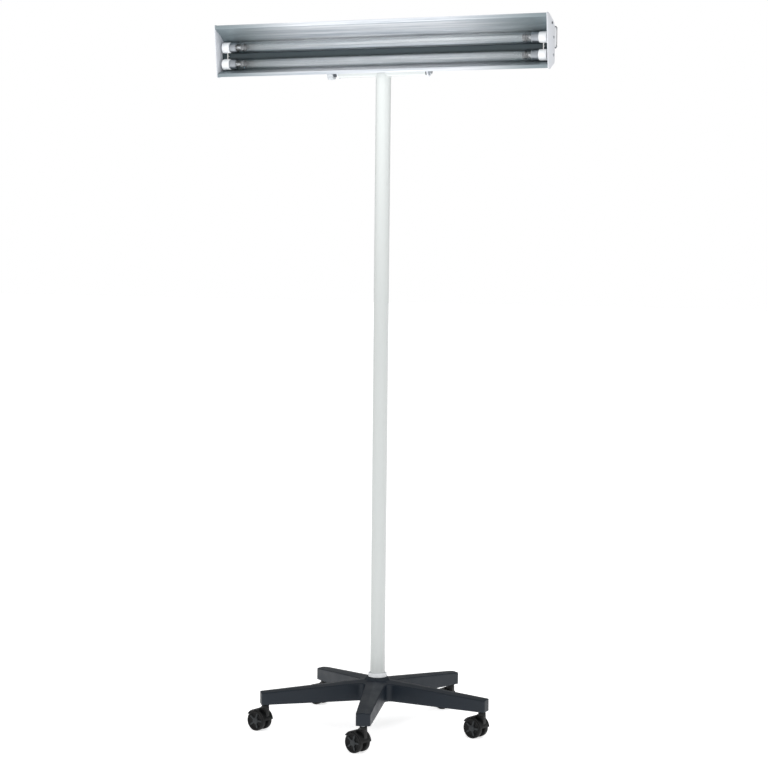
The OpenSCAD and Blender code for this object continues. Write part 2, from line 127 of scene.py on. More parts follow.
def loft(rings: Array, ends: Ends = Ends.FAN) -> Surface:
    """A skin over rings of points.

    Args:
        rings: points of shape (rings, points in a ring, 3). Each ring closes on itself.
        ends: what closes the first and last ring.

    Returns:
        The surface, facing outwards where it is closed.
    """
    n_rings, n_round = rings.shape[:2]
    index = np.arange(n_rings * n_round).reshape(n_rings, n_round)
    wrapped = np.hstack([index, index[:, :1]])
    if ends is Ends.LOOP:
        wrapped = np.vstack([wrapped, wrapped[:1]])
    quads = np.stack([wrapped[:-1, :-1], wrapped[1:, :-1], wrapped[1:, 1:], wrapped[:-1, 1:]], -1)
    points = rings.reshape(-1, 3)
    faces: tuple[Array, ...] = (quads.reshape(-1, 4),)
    if ends is Ends.FAN:
        middles = rings[[0, -1]].mean(1)
        first, last = len(points), len(points) + 1
        points = np.vstack([points, middles])
        start, stop = wrapped[0], wrapped[-1]
        faces += (
            np.stack([np.full(n_round, first), start[:-1], start[1:]], -1),
            np.stack([np.full(n_round, last), stop[1:], stop[:-1]], -1),
        )
    if ends is Ends.STRIP:
        half = n_round // 2
        a, b = np.arange(half - 1), n_round - 1 - np.arange(half - 1)
        cap = np.stack([a, a + 1, b - 1, b], -1)
        faces += (cap, (cap + index[-1, 0])[:, ::-1])
    surface = Surface(points, faces)
    return surface if ends is Ends.OPEN else surface.outward()


def directions(count: int) -> Array:
    """Evenly spaced angles once round, in radians."""
    return np.linspace(0.0, 2.0 * math.pi, count, endpoint=False)


def rings_at(radius: Array | float, height: Array | float, angle: Array) -> Array:
    """Points round the Z axis at each angle. Radius and height have a row for each ring."""
    x, y = radius * np.cos(angle), radius * np.sin(angle)
    return np.stack(np.broadcast_arrays(x, y, height), -1)


def lathe(profile: Sequence[Sequence[float]], segments: int = 64, ends: Ends = Ends.FAN) -> Surface:
    """A profile of (radius, height) turned round the Z axis."""
    p = np.asarray(profile, float)
    return loft(rings_at(p[:, :1], p[:, 1:], directions(segments)), ends)


def rounded(corners: Sequence[Sequence[float]], radius: float | Sequence[float], steps: int = 5,
            closed: bool = True) -> Array:
    """An outline with its corners rounded.

    Each corner becomes a rational quadratic curve between its two tangent points, which is an
    exact circular arc when its middle weight is the sine of half the corner's angle.

    Args:
        corners: the (a, b) corner points in order.
        radius: one radius, or one for each corner.
        steps: segments in each arc.
        closed: whether the last corner joins the first. An open line keeps its two end points.

    Returns:
        The points of the rounded outline.
    """
    c = np.asarray(corners, float)
    radii = np.broadcast_to(np.asarray(radius, float), (len(c),))
    before, after = np.roll(c, 1, 0) - c, np.roll(c, -1, 0) - c
    lb, la = np.linalg.norm(before, axis=1), np.linalg.norm(after, axis=1)
    ub, ua = before / lb[:, None], after / la[:, None]
    half = 0.5 * np.arccos(np.clip((ub * ua).sum(1), -0.99999, 0.99999))
    reach = np.minimum(radii / np.tan(half), 0.49 * np.minimum(lb, la))
    w = np.linspace(0.0, 1.0, steps + 1)[None, :, None]
    p0, p2 = (c + ub * reach[:, None])[:, None], (c + ua * reach[:, None])[:, None]
    k = np.sin(half)[:, None, None]
    top = (1 - w) ** 2 * p0 + 2 * w * (1 - w) * k * c[:, None] + w ** 2 * p2
    arcs = top / ((1 - w) ** 2 + 2 * w * (1 - w) * k + w ** 2)
    if closed:
        return arcs.reshape(-1, 2)
    return np.vstack([c[:1], arcs[1:-1].reshape(-1, 2), c[-1:]])


def rectangle(low: Sequence[float], high: Sequence[float], radius: float | Sequence[float], steps: int = 5,
              inset: float = 0.0) -> Array:
    """A rectangle between two corners, drawn in all round by an inset, with its corners rounded."""
    (a0, b0), (a1, b1) = np.asarray(low, float) + inset, np.asarray(high, float) - inset
    return rounded([(a0, b0), (a1, b0), (a1, b1), (a0, b1)], radius, steps)


def arc(centre: Sequence[float], radius: float, start: float, stop: float, steps: int) -> Array:
    """Points on a circular arc between two angles in degrees."""
    a = np.radians(np.linspace(start, stop, steps + 1))
    return np.asarray(centre, float) + radius * np.stack([np.cos(a), np.sin(a)], -1)


def normals(line: Array, closed: bool) -> Array:
    """At each point of a line, the left-hand direction, lengthened at bends to keep both sides' distance."""
    step = np.roll(line, -1, 0) - line
    step /= np.maximum(np.linalg.norm(step, axis=1), 1e-9)[:, None]
    ahead, behind = step.copy(), np.roll(step, 1, 0)
    if not closed:
        ahead[-1], behind[0] = step[-2], step[0]
    left_a = np.stack([-ahead[:, 1], ahead[:, 0]], -1)
    left_b = np.stack([-behind[:, 1], behind[:, 0]], -1)
    mean = left_a + left_b
    return mean / np.maximum((mean * left_b).sum(1), 0.3)[:, None]


def anticlockwise(outline: Array) -> Array:
    """The closed outline in anticlockwise order."""
    x, y = outline.T
    return outline if np.sum(x * np.roll(y, -1) - y * np.roll(x, -1)) > 0 else outline[::-1]


def carried(outline: Array, x: float) -> Array:
    """An outline in (y, z) as points at one x."""
    return np.concatenate([np.full((len(outline), 1), x), outline], -1)


def bar(outline: Array, start: float, stop: float, edge: float = 0.0,
        hole: Optional[Array] = None) -> Surface:
    """An outline in (y, z) carried along X, with rounded edges at both ends.

    Args:
        outline: the closed outline.
        start: the lower x.
        stop: the higher x.
        edge: radius of the rounded edges.
        hole: an inner outline with as many points, which makes the bar a tube.

    Returns:
        The closed surface.
    """
    outline = anticlockwise(outline)
    a = np.linspace(0.0, 0.5 * math.pi, 4) if edge > 0 else np.zeros(1)
    from_end, from_side = edge * (1 - np.sin(a)), edge * (1 - np.cos(a))
    xs = np.concatenate([start + from_end[::-1], stop - from_end])
    inset = np.concatenate([from_side[::-1], from_side])
    n = normals(outline, True)
    flat = outline[None] + inset[:, None, None] * n[None]
    rings = np.concatenate([np.repeat(xs[:, None, None], len(outline), 1), flat], -1)
    if hole is None:
        return loft(rings)
    inner = anticlockwise(hole)
    inside = np.stack([carried(inner, x) for x in (stop, start)])
    return loft(np.concatenate([rings, inside]), Ends.LOOP)


def bent_sheet(line: Array, thickness: float, xs: Array) -> Surface:
    """A sheet that follows a bend line in (y, z), carried along X through the given stations."""
    n = normals(line, False) * thickness / 2
    ring = np.vstack([line + n, (line - n)[::-1]])
    rings = np.stack([carried(ring, x) for x in xs])
    return loft(rings, Ends.STRIP)


def block(low: Sequence[float], high: Sequence[float], radius: float = 1.0, edge: float = 0.6) -> Surface:
    """A box with rounded long edges and rounded ends, lying along X."""
    return bar(rectangle(low[1:], high[1:], radius), low[0], high[0], edge)


def swept_tube(path: Array, radius: float, sides: int = 12) -> Surface:
    """A round wire along a path of points.

    Each ring lies square to the path, and its first direction is the last ring's, made square again.
    """
    tangent = np.gradient(path, axis=0)
    tangent /= np.linalg.norm(tangent, axis=1)[:, None]
    up = np.zeros_like(path)
    lead = np.array([0.31, 0.52, 0.79])
    for i, t in enumerate(tangent):
        lead = lead - t * (lead @ t)
        lead /= np.linalg.norm(lead)
        up[i] = lead
    side = np.cross(tangent, up)
    a = directions(sides)[None, :, None]
    return loft(path[:, None] + radius * (np.cos(a) * up[:, None] + np.sin(a) * side[:, None]))


def smoothed(points: Sequence[Sequence[float]], steps: int = 8) -> Array:
    """A Catmull-Rom curve through points: each stretch is a cubic that leaves and meets its
    ends in the direction between the points on either side."""
    p = np.asarray(points, float)
    p = np.vstack([2 * p[0] - p[1], p, 2 * p[-1] - p[-2]])
    t = np.linspace(0.0, 1.0, steps, endpoint=False)[None, :, None]
    a, b, c, d = (p[i:len(p) - 3 + i][:, None] for i in range(4))
    curve = 0.5 * (2 * b + (c - a) * t + (2 * a - 5 * b + 4 * c - d) * t ** 2
                   + (3 * b - a - 3 * c + d) * t ** 3)
    return np.vstack([curve.reshape(-1, 3), p[-2:-1]])


def toward(axis: Sequence[float]) -> Array:
    """A turn that takes +Z to the given axis."""
    z = np.asarray(axis, float) / np.linalg.norm(axis)
    helper = np.array([0.0, 0.0, 1.0]) if abs(z[2]) < 0.9 else np.array([1.0, 0.0, 0.0])
    x = np.cross(helper, z)
    x /= np.linalg.norm(x)
    return np.stack([x, np.cross(z, x), z], -1)


# Turns for parts drawn standing on z = 0.
TO_RIGHT, TO_LEFT, TO_BACK = toward((1.0, 0.0, 0.0)), toward((-1.0, 0.0, 0.0)), toward((0.0, 1.0, 0.0))
UPSIDE_DOWN = np.diag([1.0, -1.0, -1.0])


# ---------------------------------------------------------------- fasteners


def hexagon_radius(angle: Array, across_flats: float) -> Array:
    """Distance from the middle of a hexagon to its side in each direction."""
    turn = math.pi / 3
    return 0.5 * across_flats / np.cos((angle + turn / 2) % turn - turn / 2)


def hex_head(across_flats: float, height: float, bore: float = 0.0) -> Surface:
    """A hexagon head or nut standing on z = 0, whose corners are turned off by a 30 degree cone.

    Its radius at a height is the smaller of the hexagon's and the cone's.
    """
    a = directions(96)
    z = height * np.array([0.0, 0.04, 0.5, 0.78, 0.86, 0.93, 0.97, 1.0])[:, None]
    cone = 0.5 * across_flats * 0.97 + (height - z) / math.tan(math.radians(30))
    rings = rings_at(np.minimum(hexagon_radius(a, across_flats), cone), z, a)
    if bore <= 0.0:
        return loft(rings)
    return loft(np.concatenate([rings, rings_at(bore, np.array([[height], [0.0]]), a)]), Ends.LOOP)


def pan_head(radius: float, height: float) -> Surface:
    """A domed screw head on z = 0 with a cross recess.

    The top is a polar grid whose height is a dome less a cross-shaped pit with soft walls.
    """
    a = directions(48)
    r = radius * np.concatenate([[0.02], np.linspace(0.08, 0.62, 10), [0.72, 0.82, 0.9, 0.96, 0.99, 1.0]])
    x, y = np.outer(r, np.cos(a)), np.outer(r, np.sin(a))
    dome = height * np.sqrt(np.clip(1.0 - 0.92 * (r / radius) ** 4, 0.0, 1.0))
    arm = np.minimum(np.abs(x), np.abs(y)) / (0.13 * radius)
    reach = np.maximum(np.abs(x), np.abs(y)) / (0.58 * radius)
    pit = 1.0 / (1.0 + np.exp(9.0 * (np.maximum(arm, reach) - 1.0)))
    top = np.stack([x, y, dome[:, None] - 0.55 * height * pit], -1)
    foot = np.stack([x[-1], y[-1], np.zeros_like(a)], -1)[None]
    return loft(np.concatenate([top, foot]))


def washer(inner: float, outer: float, height: float) -> Surface:
    """A flat ring on z = 0 with softened edges."""
    e = min(0.3, height / 4)
    return lathe([(inner, 0), (outer - e, 0), (outer, e), (outer, height - e), (outer - e, height),
                  (inner, height)], 64, Ends.LOOP)


# ---------------------------------------------------------------- finishes


def linear(hex_colour: str) -> tuple[float, float, float, float]:
    """An sRGB hex colour as the linear colour that a shader takes."""
    code = hex_colour.lstrip("#")
    s = [int(code[i:i + 2], 16) / 255.0 for i in (0, 2, 4)]
    r, g, b = (c / 12.92 if c <= 0.04045 else ((c + 0.055) / 1.055) ** 2.4 for c in s)
    return (r, g, b, 1.0)


def add(tree: bpy.types.NodeTree, kind: str, values: Optional[dict] = None,
        links: Optional[dict] = None, **settings: object) -> bpy.types.Node:
    """A new shader node with its settings, its socket values and its incoming links.

    Args:
        tree: the material's node tree.
        kind: the node's type.
        values: socket name or number to constant.
        links: socket name or number to the output that feeds it.
        settings: properties of the node itself.

    Returns:
        The node.
    """
    node = tree.nodes.new(kind)
    for key, value in settings.items():
        setattr(node, key, value)
    for key, value in (values or {}).items():
        node.inputs[key].default_value = value
    for key, output in (links or {}).items():
        tree.links.new(output, node.inputs[key])
    return node


@dataclass(frozen=True)
class Finish:
    """A solid finish: a colour that drifts, an uneven gloss and a fine relief."""

    name: str
    slot: str
    colour: str
    drift: str
    roughness: float
    roughness_spread: float = 0.06
    metallic: float = 0.0
    ior: float = 1.5
    patch_mm: float = 60.0
    grain_mm: float = 1.2
    relief_mm: float = 0.02
    stretch: tuple[float, float, float] = (1.0, 1.0, 1.0)
    coat: float = 0.0
    coat_roughness: float = 0.05
    specular: float = 0.5
    glow: float = 0.0

    def material(self) -> bpy.types.Material:
        """Builds the finish, or finds it if it is built already."""
        made = bpy.data.materials.get(self.name)
        if made is None:
            made = bpy.data.materials.new(self.name)
            made.use_nodes = True
            made.diffuse_color = linear(self.colour)
            tree = made.node_tree
            tree.nodes.clear()
            shader = self.shader(tree, add(tree, "ShaderNodeTexCoord").outputs["Object"])
            add(tree, "ShaderNodeOutputMaterial", links={"Surface": shader.outputs[0]})
        return made

    @staticmethod
    def noise(tree: bpy.types.NodeTree, place: bpy.types.NodeSocket, size_mm: float, detail: float,
              roughness: float = 0.5, scale: Sequence[float] = (1.0, 1.0, 1.0)) -> bpy.types.NodeSocket:
        """Fractal noise with features of a size, drawn out in a direction whose scale is below one."""
        stretched = add(tree, "ShaderNodeMapping", {"Scale": scale}, {"Vector": place}).outputs[0]
        values = {"Scale": 1000.0 / size_mm, "Detail": detail, "Roughness": roughness}
        return add(tree, "ShaderNodeTexNoise", values, {"Vector": stretched}).outputs["Fac"]

    @staticmethod
    def ramp(tree: bpy.types.NodeTree, value: bpy.types.NodeSocket, start: Sequence[float],
             stop: Sequence[float] = (0.0, 1.0), **settings: object) -> bpy.types.NodeSocket:
        """A value mapped from one range onto another, held at its ends."""
        limits = {"From Min": start[0], "From Max": start[1], "To Min": stop[0], "To Max": stop[1]}
        return add(tree, "ShaderNodeMapRange", limits, {"Value": value}, **settings).outputs[0]

    def gloss(self, tree: bpy.types.NodeTree, value: bpy.types.NodeSocket) -> bpy.types.NodeSocket:
        """The roughness, spread either side of its mean by a noise."""
        low, high = self.roughness - self.roughness_spread, self.roughness + self.roughness_spread
        return self.ramp(tree, value, (0.3, 0.7), (max(0.0, low), high))

    def tint(self, tree: bpy.types.NodeTree, value: bpy.types.NodeSocket) -> bpy.types.NodeSocket:
        """The colour, drifting with a noise."""
        ends = {6: linear(self.colour), 7: linear(self.drift)}
        return add(tree, "ShaderNodeMix", ends, {0: value}, data_type="RGBA").outputs[2]

    def shader(self, tree: bpy.types.NodeTree, place: bpy.types.NodeSocket) -> bpy.types.Node:
        """The finish's shader.

        Args:
            tree: the material's node tree.
            place: object coordinates.

        Returns:
            The shader node.
        """
        patch = self.noise(tree, place, self.patch_mm, 3.0)
        grain = self.noise(tree, place, self.grain_mm, 2.0, 0.6, self.stretch)
        bump = add(tree, "ShaderNodeBump", {"Strength": 0.6, "Distance": self.relief_mm * MM},
                   {"Height": grain})
        values = {"Metallic": self.metallic, "IOR": self.ior, "Coat Weight": self.coat,
                  "Coat Roughness": self.coat_roughness, "Specular IOR Level": self.specular,
                  "Emission Color": linear("#ffffff"), "Emission Strength": self.glow}
        links = {"Base Color": self.tint(tree, patch), "Roughness": self.gloss(tree, patch),
                 "Normal": bump.outputs[0]}
        return add(tree, "ShaderNodeBsdfPrincipled", values, links)


@dataclass(frozen=True)
class PolishedSheet(Finish):
    """Rolled, polished metal: lines along the sheet, partly rolled lines and partly painted reflection
    streaks, and a slow waviness that bends reflections.
    """

    line_mm: float = 9.0
    line_stretch: float = 60.0
    wave_mm: float = 90.0
    wave_relief_mm: float = 0.25
    # Painted shade: the grey that the sheet's colour turns to towards both ends, and where that greying
    # starts and ends.
    end_shade: str = "#879398"
    end_shade_from_mm: float = 180.0
    end_shade_to_mm: float = 470.0

    def shader(self, tree: bpy.types.NodeTree, place: bpy.types.NodeSocket) -> bpy.types.Node:
        """The sheet's shader. Its colour greys towards both ends: painted shade for the darker reflections
        there.
        """
        lines = self.noise(tree, place, self.line_mm, 4.0, 0.65, (1.0 / self.line_stretch, 1.0, 1.0))
        wave = self.noise(tree, place, self.wave_mm, 2.0, 0.5, (0.18, 1.0, 1.0))
        # The lines also set the colour: part rolled lines, part painted reflection streaks.
        sheet = self.tint(tree, self.ramp(tree, lines, (0.35, 0.65)))
        along = add(tree, "ShaderNodeSeparateXYZ", links={"Vector": place}).outputs["X"]
        outward = add(tree, "ShaderNodeMath", links={0: along}, operation="ABSOLUTE").outputs[0]
        # Painted shade: a mask that rises towards both ends of the sheet and greys its colour there.
        end_shade_mask = self.ramp(tree, outward, (self.end_shade_from_mm * MM, self.end_shade_to_mm * MM),
                         interpolation_type="SMOOTHSTEP")
        tint = add(tree, "ShaderNodeMix", {7: linear(self.end_shade)}, {0: end_shade_mask, 6: sheet},
                   data_type="RGBA")
        coarse = add(tree, "ShaderNodeBump", {"Strength": 1.0, "Distance": self.wave_relief_mm * MM},
                     {"Height": wave})
        fine = add(tree, "ShaderNodeBump", {"Strength": 0.35, "Distance": self.relief_mm * MM},
                   {"Height": lines, "Normal": coarse.outputs[0]})
        links = {"Base Color": tint.outputs[2], "Roughness": self.gloss(tree, lines),
                 "Normal": fine.outputs[0]}
        return add(tree, "ShaderNodeBsdfPrincipled", {"Metallic": self.metallic}, links)


@dataclass(frozen=True)
class ClearGlass(Finish):
    """Drawn lamp glass: see-through, with long faint draw lines in its gloss."""

    def shader(self, tree: bpy.types.NodeTree, place: bpy.types.NodeSocket) -> bpy.types.Node:
        """The glass's shader."""
        lines = self.noise(tree, place, self.grain_mm, 3.0, 0.5, (0.02, 1.0, 1.0))
        gloss = self.ramp(tree, lines, (0.0, 1.0), (0.0, self.roughness))
        return add(tree, "ShaderNodeBsdfPrincipled", {"Transmission Weight": 1.0, "IOR": self.ior},
                   {"Base Color": self.tint(tree, lines), "Roughness": gloss})


# Glass-filled nylon, moulded with a fine spark-eroded grain: a blue-black that greys on broad faces.
BASE_NYLON = Finish("glass_filled_nylon_moulded", "base_nylon", "#0d161f", "#151f29", 0.48, ior=1.53,
                    patch_mm=45.0, grain_mm=1.6, relief_mm=0.05, specular=0.3)
# Castor nylon, darker and glossier where hands and floors polish it.
CASTOR_NYLON = Finish("castor_nylon_moulded", "castor_nylon", "#08090a", "#0f1112", 0.4, 0.08, ior=1.53,
                      patch_mm=18.0, relief_mm=0.03, specular=0.25)
# The wheels' centres, moulded in a greyer nylon that shows its rubbed edges.
WHEEL_CENTRE = replace(CASTOR_NYLON, name="wheel_centre_nylon", colour="#26292b", drift="#2f3234",
                       roughness=0.5)
# Polyurethane tread, matt from the floor, with dust in it.
TREAD = Finish("polyurethane_tread", "castor_tread", "#060707", "#0e0f10", 0.6, 0.1,
               patch_mm=12.0, grain_mm=1.0, relief_mm=0.05, specular=0.25)
# Powder coat over steel: a soft orange-peel of about 3 mm under an even gloss.
POWDER_COAT = Finish("powder_coat_light_grey", "white_enamel", "#c8cccb", "#c4c8c7", 0.34, 0.015,
                     patch_mm=140.0, grain_mm=3.0, relief_mm=0.03, coat=0.25, coat_roughness=0.12)
# Sheet-metal enamel on the lamp head, whiter than the column.
HEAD_ENAMEL = replace(POWDER_COAT, name="stoved_enamel_white", colour="#d7dadf", drift="#d3d6dc",
                      roughness=0.3)
# Bright zinc plate: a cool, slightly blotchy sheen.
ZINC = Finish("zinc_plated_steel", "zinc_steel", "#b9bdc0", "#a6abb0", 0.3, 0.1, metallic=1.0,
              patch_mm=9.0, grain_mm=0.8, relief_mm=0.01)
# Anodised polished aluminium: lines along the sheet whose strong light and dark are partly rolled lines and
# partly painted reflection streaks, a slow waviness, and painted shade towards both ends.
MIRROR = PolishedSheet("polished_anodised_aluminium", "mirror_aluminium", "#f4f6f9", "#adb5be", 0.34,
                       metallic=0.5)
# Painted shade: a charcoal colour on the crest strip, for the dark gap between the two tubes.
CREST_PAINTED_SHADE = Finish("crest_strip_painted_shade", "dark_enamel", "#353f44", "#2d373b", 0.4,
                     patch_mm=120.0, grain_mm=2.5, specular=0.35)
# Moulded polycarbonate of lampholders, collar and cap plates: white, a little see-into.
POLYCARBONATE = Finish("polycarbonate_moulded_white", "white_polycarbonate", "#e8eaec", "#dfe2e5", 0.34, 0.05,
                       ior=1.58, patch_mm=30.0, grain_mm=1.5)
# Soda-lime lamp glass with the faint green-blue of its iron.
GLASS = ClearGlass("drawn_lamp_glass", "lamp_glass", "#ffffff", "#f9fcfd", 0.03, ior=1.52, grain_mm=6.0)
# Pressed aluminium end caps, satin from the press.
CAP_ALUMINIUM = Finish("pressed_aluminium", "cap_aluminium", "#a9aeb3", "#989da3", 0.36, 0.08, metallic=1.0,
                       patch_mm=10.0, grain_mm=0.9, relief_mm=0.01, stretch=(1.0, 0.2, 1.0))
# Contact pins of plated brass.
BRASS = Finish("nickel_washed_brass", "pin_brass", "#c9b27a", "#bda468", 0.25, 0.08, metallic=1.0,
               patch_mm=3.0, grain_mm=0.6, relief_mm=0.005)
# Moulded plastic of housing surrounds, knob neck, gland and switch: charcoal, softly grained.
DARK_PLASTIC = Finish("abs_moulded_charcoal", "grey_nylon", "#3a3f45", "#44494f", 0.42, ior=1.53,
                      patch_mm=14.0, grain_mm=1.1, relief_mm=0.03)
# The knob's grip: a light grey thermoplastic.
GRIP = replace(DARK_PLASTIC, name="thermoplastic_light_grey", colour="#b9bdc1", drift="#aeb3b7",
               roughness=0.45, ior=1.5)
# Pressed fibre washers, dry and matt.
FIBRE = Finish("pressed_fibre", "friction_fibre", "#2a2c2f", "#3a3d40", 0.8, 0.1,
               patch_mm=4.0, grain_mm=0.7, relief_mm=0.05)
# PVC insulation of the lamp wires.
PVC = Finish("pvc_insulation", "wire_pvc", "#e2e2de", "#d3d3cf", 0.4, 0.05, ior=1.53,
             patch_mm=20.0, grain_mm=2.0)
# Tungsten and nickel inside the tubes, dulled by heat.
ELECTRODE = Finish("nickel_electrode", "zinc_steel", "#8d8f92", "#6f7276", 0.42, 0.1, metallic=1.0,
                   patch_mm=4.0, grain_mm=0.8, relief_mm=0.01)


# ---------------------------------------------------------------- making pieces


def make_piece(name: str, surface: Surface, body: str, finish: Finish,
               stands_for: Sequence[str] = (), crease: float = 32.0,
               merge: float = 1e-6) -> bpy.types.Object:
    """Turns a surface into an object that rides on a body.

    Args:
        name: the piece's name.
        surface: its points in millimetres, in the row frame.
        body: the CAD body that it moves with.
        finish: its finish, whose material the piece takes.
        stands_for: CAD nodes that it replaces.
        crease: edges that turn more than this, in degrees, stay sharp.
        merge: points closer than this, in metres, become one.

    Returns:
        The object.
    """
    mesh = bpy.data.meshes.new(name)
    faces = [f for group in surface.faces for f in group.tolist()]
    mesh.from_pydata((surface.points * MM).tolist(), [], faces)
    worker = bmesh.new()
    worker.from_mesh(mesh)
    bmesh.ops.remove_doubles(worker, verts=worker.verts, dist=merge)
    bmesh.ops.dissolve_degenerate(worker, edges=worker.edges, dist=merge)
    worker.to_mesh(mesh)
    worker.free()
    mesh.shade_smooth()
    mesh.set_sharp_from_angle(angle=math.radians(crease))
    piece = bpy.data.objects.new(name, mesh)
    bpy.context.scene.collection.objects.link(piece)
    piece.data.materials.append(finish.material())
    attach(piece, body)
    if stands_for:
        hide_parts(*stands_for)
    LOG.info("%s: %d faces on %s", name, len(mesh.polygons), body)
    return piece


def dress(nodes: Sequence[str], finish: Finish) -> None:
    """Gives CAD nodes that keep their own shape a finish."""
    for node in nodes:
        slots = frame["nodes"][node].data.materials
        slots.clear()
        slots.append(finish.material())


def centre(node: str) -> Array:
    """The middle of a CAD node's box, in millimetres."""
    low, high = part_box(node)
    return (np.array(low) + np.array(high)) / 2 / MM


def extent(node: str) -> tuple[Array, Array]:
    """The lowest and highest corner of a CAD node's box, in millimetres."""
    low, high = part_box(node)
    return np.array(low) / MM, np.array(high) / MM


def joint_at(name: str) -> Array:
    """Where a joint is at rest, in millimetres."""
    entry = next(j for j in frame["joints"] if j["name"] == name)
    return np.array(entry["pos_m"]) / MM


# ---------------------------------------------------------------- star base


@dataclass
class StarBase:
    """The five-arm base with its hub, socket bosses and trim collar. Lengths are millimetres."""

    arms: int = 5
    root_half: float = 27.0
    tip_half: float = 19.0
    hub_r: float = 36.0
    bore_r: float = 23.0
    crown: float = 0.13
    edge_r: float = 4.0
    crotch_r: float = 16.0
    tip_corner_r: float = 6.0
    wall: float = 3.6
    root_drop: float = 7.0
    tip_drop: float = 31.0
    skirt_z: float = 80.0
    skirt_fall: float = 7.0
    blend_in: float = 34.0
    boss_r: float = 11.0
    rib_stations: tuple[float, ...] = (110.0, 180.0, 250.0)
    samples: int = 900
    stem_circle: float = field(init=False)
    tip_r: float = field(init=False)
    top: float = field(init=False)

    def __post_init__(self) -> None:
        """Takes the base's reach and height from the frame."""
        high = extent("star_base")[1]
        self.tip_r = float(high[0])
        self.top = float(high[2])
        self.stem_circle = math.hypot(*joint_at("castor_1_swivel")[:2])

    def half_width(self, r: Array) -> Array:
        """Half the arm's width at a distance from the column."""
        share = (r - self.hub_r) / (self.tip_r - self.hub_r)
        return self.root_half + (self.tip_half - self.root_half) * share

    def arm_top(self, r: Array) -> Array:
        """Height of the arm's ridge, which falls evenly from the hub to the tip."""
        root, tip = self.top - self.root_drop, self.top - self.tip_drop
        return root + (tip - root) * np.clip((r - self.hub_r) / (self.tip_r - self.hub_r), 0.0, 1.0)

    def arm_bottom(self, r: Array) -> Array:
        """Height of the arm's lower edge."""
        return self.skirt_z - self.skirt_fall * r / self.tip_r

    def outline(self) -> Array:
        """The star's plan outline: tapered arms with rounded tips and filleted crotches.

        Its points are evenly spaced and start on the first arm's axis.
        """
        step = 2.0 * math.pi / self.arms
        bisector = step / 2
        slope = (self.tip_half - self.root_half) / (self.tip_r - self.hub_r)
        crotch_x = (self.root_half - slope * self.hub_r) / (math.tan(bisector) - slope)
        corners, radii = [], []
        for k in range(self.arms):
            c, s = math.cos(step * k), math.sin(step * k)
            turn = np.array([[c, -s], [s, c]])
            corners += [turn @ np.array(p) for p in (
                (self.tip_r, -self.tip_half), (self.tip_r, self.tip_half),
                (crotch_x, crotch_x * math.tan(bisector)))]
            radii += [self.tip_corner_r, self.tip_corner_r, self.crotch_r]
        line = rounded(corners, radii, 12)
        start = np.array([[self.tip_r, 0.0]])
        angle = np.arctan2(line[:, 1], line[:, 0]) % (2.0 * math.pi)
        ring = np.vstack([start, np.roll(line, -int(np.argmin(angle)), 0), start])
        length = np.concatenate([[0.0], np.cumsum(np.linalg.norm(np.diff(ring, axis=0), axis=1))])
        even = np.linspace(0.0, length[-1], self.samples, endpoint=False)
        return np.stack([np.interp(even, length, ring[:, i]) for i in (0, 1)], -1)

    def shell(self) -> Surface:
        """Top and walls of the star as one skin, open underneath.

        Rulings start on the hub's bore near a crotch and on the arm's axis further out, and end on the
        outline. The height over them is the soft maximum of the falling, slightly ridged arm and the
        hub's chamfered disc, less a quarter round along the outline. Below it the skin drops as a wall.
        """
        step = 2.0 * math.pi / self.arms
        out = self.outline()
        angle = np.arctan2(out[:, 1], out[:, 0])
        arm = np.round(angle / step) * step
        c, s = np.cos(arm), np.sin(arm)
        x, y = c * out[:, 0] + s * out[:, 1], -s * out[:, 0] + c * out[:, 1]
        near = float(x.min())
        along = near + self.blend_in
        share = np.clip((x - along) / (self.tip_r - along), 0.0, 1.0)
        inner_r = self.bore_r + share * (self.tip_r - 15.0 - self.bore_r)
        w = np.clip((along - x) / self.blend_in, 0.0, 1.0)
        inner_angle = arm + np.sign(y) * step / 2 * w * w * (3.0 - 2.0 * w)
        inner = inner_r[:, None] * np.stack([np.cos(inner_angle), np.sin(inner_angle)], -1)
        t = np.concatenate([np.linspace(0.0, 0.75, 22),
                            1.0 - 0.25 * (1.0 - np.linspace(0.06, 1.0, 16)) ** 1.6])
        plan = inner[None] + t[:, None, None] * (out - inner)[None]
        to_edge = np.stack([np.linalg.norm(row[:, None] - out[None, ::2], axis=-1).min(1)
                            for row in plan])
        to_edge[-1] = 0.0
        r = np.linalg.norm(plan, axis=-1)
        across = np.abs(-s * plan[..., 0] + c * plan[..., 1])
        ridge = self.arm_top(r) - self.crown * (np.sqrt(across ** 2 + 9.0) - 3.0)
        disc = self.top - 0.4 - 1.2 * np.clip(r - (self.hub_r - 7.0), 0.0, None) ** 1.25
        height = 0.5 * (ridge + disc + np.sqrt((ridge - disc) ** 2 + 4.0)) - 0.5
        bite = np.clip(self.edge_r - to_edge, 0.0, self.edge_r)
        height -= self.edge_r - np.sqrt(self.edge_r ** 2 - bite ** 2)
        top = np.concatenate([plan, height[..., None]], -1)
        low = self.arm_bottom(np.linalg.norm(out, axis=1))
        drop = np.linspace(0.0, 1.0, 9)[1:, None]
        z = height[-1][None] * (1.0 - drop) + low[None] * drop
        wall = np.concatenate([np.repeat(out[None], len(drop), 0), z[..., None]], -1)
        return loft(np.concatenate([top, wall]), Ends.OPEN)

